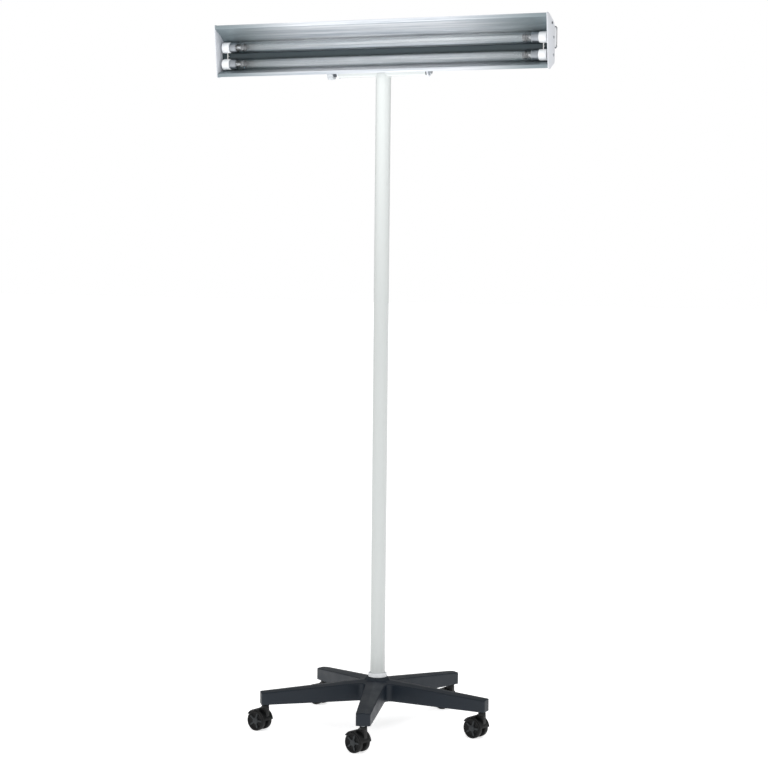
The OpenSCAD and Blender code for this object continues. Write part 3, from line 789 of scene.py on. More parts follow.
    def underside(self) -> Surface:
        """The hub's well, the socket bosses and the cross ribs that the hollow arms hide."""
        inner, outer, brim = self.bore_r + 0.1, self.bore_r + 4.0, self.top - 1.0
        parts = [lathe([(inner, brim), (outer, brim), (outer, 76.0), (5.7, 76.0), (5.7, 91.9),
                        (inner, 91.9)], 96, Ends.LOOP)]
        for k in range(self.arms):
            a = 2.0 * math.pi * k / self.arms
            turn = np.array([[math.cos(a), -math.sin(a), 0], [math.sin(a), math.cos(a), 0], [0, 0, 1.0]])
            top = float(self.arm_top(np.array(self.stem_circle))) - self.wall
            r = self.boss_r
            boss = lathe([(5.2, 73.2), (r - 0.6, 73.2), (r, 74.0), (r, top), (5.2, top)], 48, Ends.LOOP)
            parts.append(boss.moved(turn @ np.array([self.stem_circle, 0, 0]), turn))
            for r in self.rib_stations:
                half = float(self.half_width(np.array(r))) - self.wall + 0.4
                high = float(self.arm_top(np.array(r))) - self.wall - 1.5
                rib = block((r, -half, 77.5), (r + 3.0, half, high), 0.8, 0.4)
                parts.append(rib.moved((0, 0, 0), turn))
        return joined(parts)

    def build(self) -> None:
        """Makes the base, its collar and its bush."""
        shell = self.shell()
        base = make_piece("star_base_moulding", shell, "base", BASE_NYLON, ["star_base"], 40.0,
                          merge=2e-5)
        self.face_up(base)
        solid = base.modifiers.new("wall", "SOLIDIFY")
        solid.thickness = self.wall * MM
        solid.offset = -1.0
        solid.use_even_offset = False
        make_piece("star_base_ribs", self.underside(), "base", BASE_NYLON)
        low, high = extent("hub_collar")
        r = (high[0] - low[0]) / 2
        bore = (extent("column")[1][0] - extent("column")[0][0]) / 2 + 0.5
        section = rectangle((bore, low[2]), (r, high[2]), [0.3, 0.5, 2.6, 1.2])
        make_piece("hub_collar_ring", lathe(section, 96, Ends.LOOP), "base", POLYCARBONATE,
                   ["hub_collar"])
        dress(["hub_bush"], BASE_NYLON)
        dress(["caster_stems"], ZINC)

    @staticmethod
    def face_up(piece: bpy.types.Object) -> None:
        """Turns an open skin over if its top looks down."""
        lean = sum(p.normal.z * p.area for p in piece.data.polygons)
        if lean < 0.0:
            piece.data.flip_normals()


# ---------------------------------------------------------------- castors


@dataclass
class Castor:
    """One swivelling twin-wheel castor, drawn about its stem with its axle on the +X side."""

    number: int
    web_half: float = 6.2
    cover_gap: float = 1.5
    cover_t: float = 2.5
    socket_r: float = 10.0
    bore_r: float = 5.1
    web_side: float = 8.8
    spokes: int = 5
    centre_r: float = 8.6
    play: float = 0.4
    pin_r: float = 4.0

    def place(self) -> tuple[Array, Array, float, float]:
        """Where the castor stands and how it is turned.

        Returns:
            The stem's foot, the turn, the trail and the wheel's radius.
        """
        stem = joint_at(f"castor_{self.number}_swivel")
        axle = joint_at(f"wheel_{self.number}a_roll")
        along = (axle - stem) * np.array([1.0, 1.0, 0.0])
        trail = float(np.linalg.norm(along))
        along /= trail
        turn = np.stack([along, np.array([-along[1], along[0], 0.0]), np.array([0.0, 0.0, 1.0])], -1)
        return np.array([stem[0], stem[1], 0.0]), turn, trail, float(axle[2])

    def cover(self, trail: float, wheel_r: float, half: float) -> Surface:
        """The mudguard: a rounded section run round the wheels from their rear to the front of the stem."""
        inner = wheel_r + self.cover_gap
        section = rectangle((inner, -half), (inner + self.cover_t, half), [0.4, 2.0, 2.0, 0.4], 4)
        a = np.radians(np.linspace(33.0, 175.0, 40))[:, None]
        r, y = section[:, 0][None], np.repeat(section[:, 1][None], len(a), 0)
        return loft(np.stack([trail + r * np.cos(a), y, wheel_r + r * np.sin(a)], -1))

    def web(self, trail: float, wheel_r: float, top: float) -> Surface:
        """The centre web between the wheels: a rounded outline from axle to socket, carried across."""
        side, rise = self.web_side, top - 4.5
        outline = rounded([(trail + 8.5, wheel_r + 3.0), (trail + 5.0, wheel_r - 8.7),
                           (trail - 8.0, wheel_r - 8.0), (-side, wheel_r + 12.0), (-side, rise),
                           (side, rise), (trail + 7.0, wheel_r + 24.0)],
                          [7.0, 7.0, 8.0, 6.0, 2.0, 4.0, 6.0], 6)
        flat = bar(outline, -self.web_half, self.web_half, 1.2)
        return Surface(flat.points[:, [1, 0, 2]], flat.faces).outward()

    def socket(self, top: float) -> Surface:
        """The swivel socket that takes the stem, with a rolled rim."""
        r = self.socket_r
        return lathe([(self.bore_r, top - 11), (r - 1.5, top - 11), (r, top - 9), (r, top - 2.2),
                      (r - 0.6, top - 0.8), (r - 1.8, top), (self.bore_r, top)], 48, Ends.LOOP)

    def wheel(self, wheel_r: float, width: float) -> Surface:
        """One wheel about the Z axis: softened shoulders and an outer face dished behind its rim.

        The dish is a soft step in radius, deeper between the hub and the rim.
        """
        tread = rounded([(5.0, 0.0), (wheel_r, 0.0), (wheel_r, width), (wheel_r - 4.2, width)],
                        [0.2, 3.0, 3.4, 0.2], 6, closed=False)
        r = np.concatenate([[wheel_r - 4.6, wheel_r - 5.0], np.linspace(wheel_r - 5.6, 9.0, 16),
                            [8.4, 6.0, 4.2]])
        lip = 2.2 / (1.0 + np.exp(-(wheel_r - 5.3 - r) * 5.0))
        dish = lip + 1.8 * np.clip((wheel_r - 6.4 - r) / 2.0, 0, 1)
        face = np.stack([r, width - dish], -1)
        return lathe(np.vstack([[(4.1, 0.0)], tread, face]), 120, Ends.LOOP)

    def spider(self, wheel_r: float, width: float) -> Surface:
        """The wheel's centre: a round cap with spokes, one plate whose outline swings with the angle."""
        a = directions(240)
        spoke = 0.5 + 0.5 * np.tanh(6.0 * (np.cos(self.spokes * a) - 0.72))
        r = self.centre_r + (wheel_r - 5.4 - self.centre_r) * spoke
        plate = bar(np.stack([r * np.cos(a), r * np.sin(a)], -1), width - 4.2, width - 0.7, 0.35)
        cap = lathe([(7.6, width - 1.0), (7.6, width - 0.3), (7.0, width), (2.0, width)], 48)
        return Surface(plate.points[:, [1, 2, 0]], plate.faces).outward() + cap

    def build(self) -> None:
        """Makes the castor's housing and wheels."""
        k = self.number
        foot, turn, trail, wheel_r = self.place()
        pin_low, pin_high = extent(f"caster_axle_{k}")
        across, span = np.abs(turn[:2, 1]), (pin_high - pin_low)[:2] / 2
        main = int(np.argmax(across))
        half = float((span[main] - self.pin_r * across[1 - main]) / across[main])
        near = self.web_half + self.play
        width = half - near
        top = float(extent(f"caster_hood_{k}")[1][2])
        hood = joined([self.cover(trail, wheel_r, half + self.play), self.web(trail, wheel_r, top),
                       self.socket(top)])
        make_piece(f"castor_housing_{k}", hood.moved(foot, turn), f"castor_{k}", CASTOR_NYLON,
                   [f"caster_hood_{k}"])
        for letter, side in (("a", 1.0), ("b", -1.0)):
            upright, at = toward((0.0, side, 0.0)), (trail, side * near, wheel_r)
            body, wheel = f"wheel_{k}{letter}", f"castor_wheel_{k}{letter}"
            tyre, spider = (part.moved(at, upright).moved(foot, turn)
                            for part in (self.wheel(wheel_r, width), self.spider(wheel_r, width)))
            make_piece(wheel, tyre, body, TREAD, [f"caster_wheel_{k}{letter}"], 38.0)
            make_piece(f"{wheel}_centre", spider, body, WHEEL_CENTRE)
        end, r = half - 4.5, self.pin_r
        pin = lathe([(r - 0.8, -end), (r, -end + 0.6), (r, end - 0.6), (r - 0.8, end)], 32)
        pin = pin.moved((trail, 0, wheel_r), TO_BACK).moved(foot, turn)
        make_piece(f"castor_axle_{k}", pin, f"castor_{k}", ZINC, [f"caster_axle_{k}"])


# ---------------------------------------------------------------- column


@dataclass
class Column:
    """The column tube, the tee bar on its top and the clamping parts at both ends of the bar."""

    wall: float = 2.0
    bar_corner: float = 3.0
    bar_wall: float = 1.5
    bead_r: float = 1.5
    lobes: int = 6
    lobe_depth: float = 0.17
    neck_length: float = 12.4

    def tube(self) -> Surface:
        """The column tube, whose top edge is cut away where the bar passes through.

        The edge's height steps as it goes round, so the directions just either side of each step are
        among the points.
        """
        low, high = extent("column")
        bar_low, bar_high = extent("cross_bar")
        r = (high[0] - low[0]) / 2
        notch = math.asin(min(1.0, (bar_high[1] + 0.15) / r))
        quarter = [np.linspace(-notch, notch, 24), np.linspace(notch + 0.002, math.pi - notch - 0.002, 36)]
        a = np.concatenate(quarter + [q + math.pi for q in quarter])
        rim = np.where(np.abs(np.sin(a)) * r > bar_high[1] + 0.1, high[2], bar_low[2] - 0.1)
        share = np.array([0.0, 0.002, 0.25, 0.5, 0.75, 0.9985, 1.0])[:, None]
        inset = np.array([0.8, 0.0, 0.0, 0.0, 0.0, 0.0, 0.5])[:, None]
        outer = rings_at(r - inset, low[2] + share * (rim - low[2]), a)
        inside = rings_at(r - self.wall, np.stack([rim, np.full(len(a), low[2])]), a)
        return loft(np.concatenate([outer, inside]), Ends.LOOP)

    def tee(self) -> Surface:
        """The rectangular bar as a tube with rounded corners."""
        low, high = extent("cross_bar")
        outer = rectangle(low[1:], high[1:], self.bar_corner, 6)
        hole = rectangle(low[1:], high[1:], self.bar_corner - self.bar_wall, 6, self.bar_wall)
        return bar(outer, low[0], high[0], 0.5, hole)

    def weld(self) -> Surface:
        """The fillet weld under the bar: a ring whose radius ripples as a bead laid in steps."""
        low, high = extent("column")
        r = (high[0] - low[0]) / 2
        bar_low, bar_high = extent("cross_bar")
        a, b = directions(180)[:, None], directions(12)
        under_bar = np.abs(np.sin(a)) * r < bar_high[1] - 0.5
        bead = (self.bead_r + 0.18 * np.sin(a * 30)) * np.where(under_bar, 1.0, 0.25)
        return loft(rings_at(r + 0.1 + bead * np.cos(b), bar_low[2] - 0.2 + bead * (np.sin(b) - 0.4), a),
                    Ends.LOOP)

    def knob(self) -> tuple[Surface, Surface]:
        """The clamping knob's grip, whose radius swings with the lobes and closes softly, and its neck."""
        low, high = extent("tilt_knob")
        grip_r = (high[2] - low[2]) / 2 + 0.6
        length, start = high[0] - low[0], self.neck_length
        a = directions(144)
        lobe = 1.0 - self.lobe_depth * (0.5 - 0.5 * np.cos(self.lobes * a)) ** 1.5
        z = np.array([start, start + 1.0, start + 2.5, (start + length) / 2, length - 4.0, length - 2.0,
                      length - 0.8, length - 0.2, length])[:, None]
        r = np.array([0.88, 0.95, 1.0, 1.0, 1.0, 0.97, 0.90, 0.82, 0.74])[:, None] * grip_r * lobe
        face = rings_at(np.array([[0.55], [0.5], [0.3]]) * grip_r,
                        length - np.array([[0.0], [0.5], [0.5]]), a)
        rings = np.concatenate([rings_at(r, z, a), face]) @ np.array([[0, 1.0, 0], [0, 0, 1.0], [-1.0, 0, 0]])
        at = (high[0], *joint_at("head_tilt")[1:])
        neck = lathe([(7.4, 0.0), (8.0, 0.6), (8.0, start - 1.2), (7.0, start)], 64)
        return loft(rings).moved(at), neck.moved(at, TO_LEFT)

    @staticmethod
    def pivot_bolt() -> Surface:
        """The right-hand pivot: a shank on the tilt axis, a plate washer on the lug and a hexagon head."""
        low, high = extent("pivot_bolt")
        axis = joint_at("head_tilt")[1:]
        lug_face = extent("friction_washers")[1][0] + 3.1
        parts = ((low[0], lathe([(3.6, 0.0), (4.0, 0.5), (4.0, high[0] - low[0] - 1.0)], 32)),
                 (lug_face + 0.1, washer(4.0, 9.0, 1.4)),
                 (lug_face + 1.5, hex_head(13.0, high[0] - lug_face - 1.5)))
        return joined([part.moved((x, *axis), TO_RIGHT) for x, part in parts])

    @staticmethod
    def foot_bolt() -> Surface:
        """The bolt that holds the column down from below: hexagon head, washer and shank."""
        low, high = extent("foot_bolt")
        seat = low[2] + 6.5
        head = hex_head(15.9, 6.4).moved((0, 0, seat), UPSIDE_DOWN)
        flat = washer(5.0, 12.0, 1.9).moved((0, 0, seat + 0.05))
        return joined([head, flat, lathe([(5.0, seat - 0.5), (5.0, high[2] - 0.8), (4.2, high[2])], 32)])

    def build(self) -> None:
        """Makes the column's pieces."""
        make_piece("column_tube", self.tube(), "column", POWDER_COAT, ["column"], 50.0)
        make_piece("tee_bar", self.tee(), "column", POWDER_COAT, ["cross_bar"], 40.0)
        make_piece("tee_weld", self.weld(), "column", POWDER_COAT)
        grip, neck = self.knob()
        make_piece("clamp_knob_grip", grip, "tilt_knob", GRIP, ["tilt_knob"], 40.0)
        make_piece("clamp_knob_neck", neck, "tilt_knob", DARK_PLASTIC)
        make_piece("pivot_bolt_and_washer", self.pivot_bolt(), "column", ZINC, ["pivot_bolt"])
        make_piece("foot_bolt_and_washer", self.foot_bolt(), "column", ZINC, ["foot_bolt"])
        dress(["foot_plug", "bar_inserts", "knob_stud"], ZINC)
        dress(["friction_washers"], FIBRE)


# ---------------------------------------------------------------- lamp head


@dataclass
class LampHead:
    """The reflector, its cheeks and cover strip, the housing behind it and what they carry.

    Sections are drawn in (y, z) from the tilt axis, in millimetres.
    """

    sheet: float = 1.2
    trough_r: float = 24.0
    trough_angles: tuple[float, float] = (29.0, 48.0)
    crest_y: float = -8.0
    crest_half: float = 2.5
    rim_h: float = 9.0
    lower_rim: tuple[float, float] = (-42.0, -3.0)
    upper_rim: tuple[float, float] = (-58.0, 135.0)
    fold: tuple[float, float] = (-27.0, 110.0)
    bend_r: float = 1.6
    housing_t: float = 1.0
    housing_lip: float = 10.0
    holder_depth: float = 22.0
    holder_r: float = 14.5
    glass_r: float = 13.0
    pin_half: float = 6.35
    pivot: Array = field(init=False)
    tubes: Array = field(init=False)
    crest_z: float = field(init=False)
    half: float = field(init=False)

    def __post_init__(self) -> None:
        """Takes the tilt axis, the tube axes and the length between the cheeks from the frame."""
        self.pivot = joint_at("head_tilt")
        self.tubes = np.array([centre(f"tube_glass_{n}")[1:] - self.pivot[1:] for n in ("lower", "upper")])
        self.crest_z = float(self.tubes[:, 1].mean())
        self.half = float(extent("reflector")[1][0])

    def section(self, node: str) -> tuple[Array, Array]:
        """The lowest and highest (y, z) of a node's box, from the tilt axis."""
        low, high = extent(node)
        return (low - self.pivot)[1:], (high - self.pivot)[1:]

    def reflector_line(self) -> Array:
        """Bend line of the reflector from lower to upper rim: two round troughs and folded wings."""
        low, high = np.array(self.lower_rim), np.array(self.upper_rim)
        up = np.array([0.0, self.rim_h])
        rim, ridge = self.trough_angles
        lower = arc(self.tubes[0], self.trough_r, -rim, ridge, 28)
        upper = arc(self.tubes[1], self.trough_r, -ridge, rim, 28)
        start = rounded([low, low + up, lower[0], lower[1]], self.bend_r, 4, closed=False)
        ridge_low = (self.crest_y, self.crest_z - self.crest_half)
        ridge_high = (self.crest_y, self.crest_z + self.crest_half)
        crest = rounded([lower[-2], lower[-1], ridge_low, ridge_high, upper[0], upper[1]],
                        self.bend_r, 4, closed=False)
        stop = rounded([upper[-2], upper[-1], self.fold, high - up, high],
                       [0, 2.0, 4.0, self.bend_r, 0], closed=False)
        return np.vstack([start[:-1], lower[2:-2], crest, upper[2:-2], stop[1:]])

    def reflector(self) -> Surface:
        """The reflector sheet between the cheeks."""
        xs = np.linspace(-self.half, self.half, 49)
        return bent_sheet(self.reflector_line(), self.sheet, xs).moved(self.pivot)

    def strip(self) -> Surface:
        """The cover strip on the crest: a shallow channel with rounded shoulders."""
        low, high = self.section("spine_strip")
        front, back, c = low[0] + self.sheet / 2, high[0] - self.sheet / 2, self.crest_z
        line = rounded([(back, c - 9.4), (front, c - 7.0), (front, c + 7.0), (back, c + 9.4)], 2.2,
                       closed=False)
        return bent_sheet(line, self.sheet, np.linspace(-self.half, self.half, 9)).moved(self.pivot)

    def cheek(self) -> Surface:
        """The right-hand end cheek: a pressed plate with rounded edges, as seen from its end."""
        low, high = extent("cheek_right")
        outline = rounded([(-60, 137), (-46, 137), (-9, 119), (2.5, 104), (2.5, 14), (-30, -5), (-44, -5)],
                          [3.0, 9.0, 9.0, 6.0, 6.0, 5.0, 3.0], 6)
        return bar(outline, low[0], high[0], 0.7).moved(self.pivot)

    def housing_line(self) -> Array:
        """Bend line of the housing: a deep channel with round back corners and short lips at its mouth."""
        low, high = self.section("back_housing")
        (y0, z0), (y1, z1) = low + self.housing_t / 2, high - self.housing_t / 2
        lip = self.housing_lip
        return rounded([(y0, z0 + lip), (y0, z0), (y1, z0), (y1, z1), (y0, z1), (y0, z1 - lip)],
                       [0, 1.0, 8.0, 8.0, 1.0, 0], 8, closed=False)

    def cap(self) -> tuple[Surface, Surface]:
        """The right-hand housing cap: a surround with a spigot inside the channel, and the plate it holds."""
        low, high = extent("housing_cap_right")
        box, x0, x1 = self.section("housing_cap_right"), low[0], high[0]
        edge = rectangle(*box, [0.8, 8.5, 8.5, 0.8], 8)
        seat = rectangle(*box, [0.5, 5.6, 5.6, 0.5], 8, 3.0)
        rim = rectangle(*box, [0.5, 7.4, 7.4, 0.5], 8, 1.2)
        hole = rectangle(*box, [0.5, 5.4, 5.4, 0.5], 8, 3.4)
        surround = bar(edge, x1 - 3.5, x1, 1.1, seat)
        plate = bar(seat, x1 - 3.4, x1 - 0.5, 0.4)
        spigot = bar(rim, x0, x1 - 3.4, 0.0, hole)
        return joined([surround, spigot]).moved(self.pivot), plate.moved(self.pivot)

    def lug(self) -> Surface:
        """The right-hand hanger: a plate with a round eye and a foot flange folded under the housing."""
        low, high = extent("lug_right")
        x0, top, thick = low[0], high[2] - self.pivot[2], 3.0
        eye = arc((0.0, 0.0), 13.0, 74.4, 350.0, 30)
        front = rounded([(12.8, 0.0), (28.0, 36.0), (28.0, top)], 6.0, closed=False)
        plate = bar(np.vstack([eye, front, [(3.5, top)]]), x0, x0 + thick, 0.5)
        flange = block((x0, 3.5, top - thick), (high[0], 28.0, top), 0.5, 1.0)
        return joined([plate, flange]).moved((0.0, self.pivot[1], self.pivot[2]))

    def holder(self, tube: Array) -> Surface:
        """A right-hand lampholder: a ring with a turning rotor, its contact slot and a ribbed foot."""
        x0 = float(extent("tube_caps_lower")[1][0]) + 0.5
        (y, z), depth = tube, self.holder_depth
        ring = rectangle((9.0, 0.0), (self.holder_r, depth), [0.8, 1.6, 1.6, 0.5], 4)
        rotor = rectangle((7.75, 1.2), (8.7, 8.6), 0.3, 3)
        back = lathe([(9.1, 8.5), (9.1, depth - 0.6), (8.4, depth)], 48)
        round_part = joined([lathe(ring, 72, Ends.LOOP), back, lathe(rotor, 48, Ends.LOOP)])
        foot = block((x0 + 0.6, y + 9.8, z - 10.5), (x0 + depth - 0.6, -1.4, z + 10.5), 1.5, 0.8)
        ribs = [block((x, y + 10.2, z - 11.0), (x + 1.4, -1.6, z + 11.0), 0.8, 0.3)
                for x in x0 + 3.0 + 4.0 * np.arange(4)]
        return joined([round_part.moved((x0, y, z), TO_RIGHT), foot] + ribs).moved(self.pivot)

    @staticmethod
    def both(right: Surface) -> Surface:
        """A right-hand surface with its mirror image at the other end."""
        return right + right.mirrored_x()

    @staticmethod
    def screw(radius: float, height: float, shank_r: float, shank: float) -> Surface:
        """A pan-head screw standing on z = 0 with its shank below."""
        return pan_head(radius, height) + lathe([(shank_r, -shank), (shank_r, 0.1)], 24)

    def screws(self) -> None:
        """The pan-head screws of cheeks, caps and lugs, and the studs on the cheeks."""
        cheek, cap = (float(extent(node)[1][0]) for node in ("cheek_right", "housing_cap_right"))
        groups = (("cheek_screw_set", "cheek_screws", self.screw(4.0, 1.8, 2.0, 8.0), cheek,
                   [(-8.0, z) for z in self.tubes[:, 1]]),
                  ("housing_screw_set", "housing_screws", self.screw(3.0, 1.6, 1.5, 9.0), cap,
                   [(34.5, 58.5), (34.5, 104.5)]))
        for name, node, screw, x, places in groups:
            right = [screw.moved((x, self.pivot[1] + y, self.pivot[2] + z), TO_RIGHT) for y, z in places]
            make_piece(name, self.both(joined(right)), "head", ZINC, [node])
        stud = pan_head(3.6, 1.5).moved((cheek, self.pivot[1] - 20.0, self.pivot[2] + 113.0), TO_RIGHT)
        make_piece("cheek_studs", self.both(stud), "head", DARK_PLASTIC)
        low, high = extent("lug_screws")
        screw = self.screw(3.8, 2.2, 2.0, 3.0)
        parts = [screw.moved((high[0] - 3.8, y, low[2] + 2.2), UPSIDE_DOWN) for y in (10.0, 22.0)]
        make_piece("lug_screw_set", self.both(joined(parts)), "head", ZINC, ["lug_screws"])

    def switch(self) -> None:
        """The rocker switch: a bezel round a well, and a rocker with two dished faces."""
        low, high = extent("switch_frame")
        c, x = ((low + high) / 2)[1:], low[0]
        outer = rectangle(low[1:], high[1:], 2.0, 4)
        hole = rectangle(c - (5.3, 9.0), c + (5.3, 9.0), 0.6, 4)
        body = rectangle(c - (6.5, 10.0), c + (6.5, 10.0), 0.8, 4)
        frame_parts = [bar(outer, x, x + 1.5, 0.6, hole), bar(body, x + 1.5, x + 9.0, 0.0, hole),
                       bar(body, x + 9.0, high[0], 0.4)]
        make_piece("switch_bezel", joined(frame_parts), "head", DARK_PLASTIC, ["switch_frame"])
        low, high = extent("switch_rocker")
        share = np.linspace(0.0, 1.0, 25)
        slope = 2.0 * np.clip(2.0 * share - 1.0, 0, 1) - 0.5 * np.abs(np.sin(2.0 * math.pi * share))
        face = np.stack([high[0] - 3.6 - slope, low[2] + (high[2] - low[2]) * share], -1)
        x, z = np.vstack([face, [(high[0], high[2] - 0.9), (high[0], low[2] + 0.9)]]).T
        rings = np.stack([np.stack([x, np.full(len(x), y), z], -1) for y in np.linspace(low[1], high[1], 9)])
        axis = joint_at("switch_rock")
        pin = lathe([(1.0, -6.2), (1.2, -6.0), (1.2, 6.0), (1.0, 6.2)], 24).moved(axis, TO_BACK)
        make_piece("switch_paddle", loft(rings) + pin, "switch_rocker", DARK_PLASTIC, ["switch_rocker"], 40.0)

    def gland(self) -> None:
        """The cable gland: a hexagon, a domed and ribbed nut with a soft seal, and the lock nut inside."""
        low, high = extent("gland_body")
        middle = ((low + high) / 2)[1:]
        outer = float(extent("housing_cap_left")[0][0])
        a = directions(144)
        z = np.array([0.0, 1.0, 4.6, 5.4, 7.0, 8.6, 9.8, 10.6, 11.0])[:, None]
        r = np.array([9.4, 9.5, 9.5, 9.3, 8.6, 7.8, 7.0, 6.4, 5.8])[:, None]
        ribs = 0.25 * np.cos(18 * a) * np.clip((5.6 - z) / 1.5, 0, 1)
        bore = rings_at(4.0, np.array([[11.0], [0.0]]), a)
        dome = loft(np.concatenate([rings_at(r + ribs, z, a), bore]), Ends.LOOP)
        depth = np.linspace(0.0, 14.0, 57)
        thread = np.stack([7.7 + 0.3 * np.cos(depth * 2 * math.pi / 1.5), depth], -1)
        tube = lathe(np.vstack([thread, [(4.0, 14.0), (4.0, 0.0)]]), 48, Ends.LOOP)
        parts = [part.moved((outer + shift, *middle), TO_LEFT)
                 for shift, part in ((-4.0, dome), (0.0, hex_head(19.0, 4.0, 4.0)), (14.0, tube))]
        make_piece("cable_gland", joined(parts), "head", DARK_PLASTIC, ["gland_body"], 40.0)
        low, high = extent("gland_nut")
        nut = hex_head(17.6, high[0] - low[0], 8.05).moved((low[0], *middle), TO_RIGHT)
        make_piece("gland_lock_nut", nut, "head", DARK_PLASTIC, ["gland_nut"])

    def tube(self, name: str, axis: Array) -> None:
        """One lamp tube: drawn glass, crimped caps and contact pins, and what shows through the glass.

        Args:
            name: lower or upper.
            axis: the tube's (y, z) from the tilt axis.
        """
        half = float(extent(f"tube_glass_{name}")[1][0])
        tip = float(extent(f"tube_caps_{name}")[1][0])
        at = np.array([0.0, self.pivot[1] + axis[0], self.pivot[2] + axis[1]])
        outer = np.array([(7.0, -half), (10.5, -half + 0.4), (12.3, -half + 1.6),
                          (self.glass_r, -half + 4.0)])
        inner = outer - np.array([0.9, -0.7])
        glass = np.vstack([outer, outer[::-1] * (1, -1), inner * (1, -1), inner[::-1]])
        cap = [(13.05, 20.0), (13.5, 20.0), (13.5, 17.6), (13.2, 17.0), (13.2, 16.2), (13.5, 15.6),
               (13.5, 1.2), (13.1, 0.4), (12.4, 0.0), (10.2, 0.0), (10.0, 0.5), (2.5, 0.5), (2.5, 1.6),
               (13.0, 1.6)]
        pin = [(1.15, -1.0), (1.2, 6.4), (0.9, 6.9), (0.3, 7.1)]
        pins = [lathe([(r, tip + x) for r, x in pin], 24).moved(at + (0.0, 0.0, d), TO_RIGHT)
                for d in (-self.pin_half, self.pin_half)]
        stem, metal = self.mount(half - 4.0)
        pieces = (
            ("glass", lathe(glass, 96, Ends.LOOP).moved(at, TO_RIGHT), GLASS, 60.0),
            ("caps", self.both(lathe([(r, tip - x) for r, x in cap], 80, Ends.LOOP).moved(at, TO_RIGHT)),
             CAP_ALUMINIUM, 32.0),
            ("pins", self.both(joined(pins)), BRASS, 32.0),
            ("stems", self.both(stem.moved(at)), POLYCARBONATE, 32.0),
            ("electrodes", self.both(metal.moved(at)), ELECTRODE, 32.0),
        )
        for part, surface, finish, crease in pieces:
            node = f"tube_{part}_{name}"
            stands_for = [node] if node in frame["nodes"] else []
            make_piece(f"tube_{name}_{part}", surface, f"tube_{name}", finish, stands_for, crease)

    @staticmethod
    def mount(x: float) -> tuple[Surface, Surface]:
        """The flared stem sealed in a tube's right end, and the coil, legs and shield that it carries."""
        flare = lathe([(9.5, x), (6.0, x - 4.0), (3.6, x - 10.0), (3.2, x - 22.0), (2.2, x - 24.0)], 48)
        shield = lathe([(10.2, x - 38.0), (10.5, x - 38.0), (10.5, x - 30.0), (10.2, x - 30.0)], 48,
                       Ends.LOOP)
        turns = np.linspace(0.0, 18.0 * 2.0 * math.pi, 220)
        coil = np.stack([x - 34.0 + 0.9 * np.cos(turns), 0.9 * np.sin(turns),
                         np.linspace(-6.5, 6.5, 220)], -1)
        legs = [smoothed([(x - 22.0, 0, d * 2.0), (x - 26.0, 0, d * 2.6), (x - 31.0, 0, d * 6.0),
                          (x - 34.0, 0, d * 6.8)]) for d in (-1, 1)]
        wires = [swept_tube(coil, 0.35, 6), *(swept_tube(leg, 0.5, 8) for leg in legs)]
        return flare.moved((0, 0, 0), TO_RIGHT), joined(wires + [shield.moved((0, 0, 0), TO_RIGHT)])

    def build(self) -> None:
        """Makes the head's pieces."""
        span = float(extent("back_housing")[1][0])
        channel = bent_sheet(self.housing_line(), self.housing_t, np.linspace(-span, span, 9))
        surround, plate = self.cap()
        holders = joined([self.holder(t) for t in self.tubes])
        pieces = (
            ("reflector_sheet", self.reflector(), MIRROR, ["reflector"], 25.0),
            # The crest cover's charcoal is painted shade for the dark gap between the tubes.
            ("crest_cover", self.strip(), CREST_PAINTED_SHADE, ["spine_strip"], 25.0),
            ("ballast_housing", channel.moved(self.pivot), HEAD_ENAMEL, ["back_housing"], 25.0),
            ("housing_end_plates", self.both(plate), POLYCARBONATE, [], 35.0),
            ("lampholder_set", self.both(holders), POLYCARBONATE, ["lampholders"], 35.0),
        )
        for name, surface, finish, stands_for, crease in pieces:
            make_piece(name, surface, "head", finish, stands_for, crease)
        pairs = (("end_cheek", "cheek", self.cheek(), HEAD_ENAMEL),
                 ("housing_end", "housing_cap", surround, DARK_PLASTIC),
                 ("hanger", "lug", self.lug(), HEAD_ENAMEL))
        for name, node, right, finish in pairs:
            make_piece(f"{name}_right", right, "head", finish, [f"{node}_right"], 35.0)
            make_piece(f"{name}_left", right.mirrored_x(), "head", finish, [f"{node}_left"], 35.0)
        self.screws()
        self.switch()
        self.gland()
        for name, axis in zip(("lower", "upper"), self.tubes):
            self.tube(name, axis)
        dress(["spacer_blocks"], ZINC)
        dress(["ballast"], HEAD_ENAMEL)
        dress(["terminal_block"], POLYCARBONATE)
        dress(["wire_loom"], PVC)


# ---------------------------------------------------------------- studio


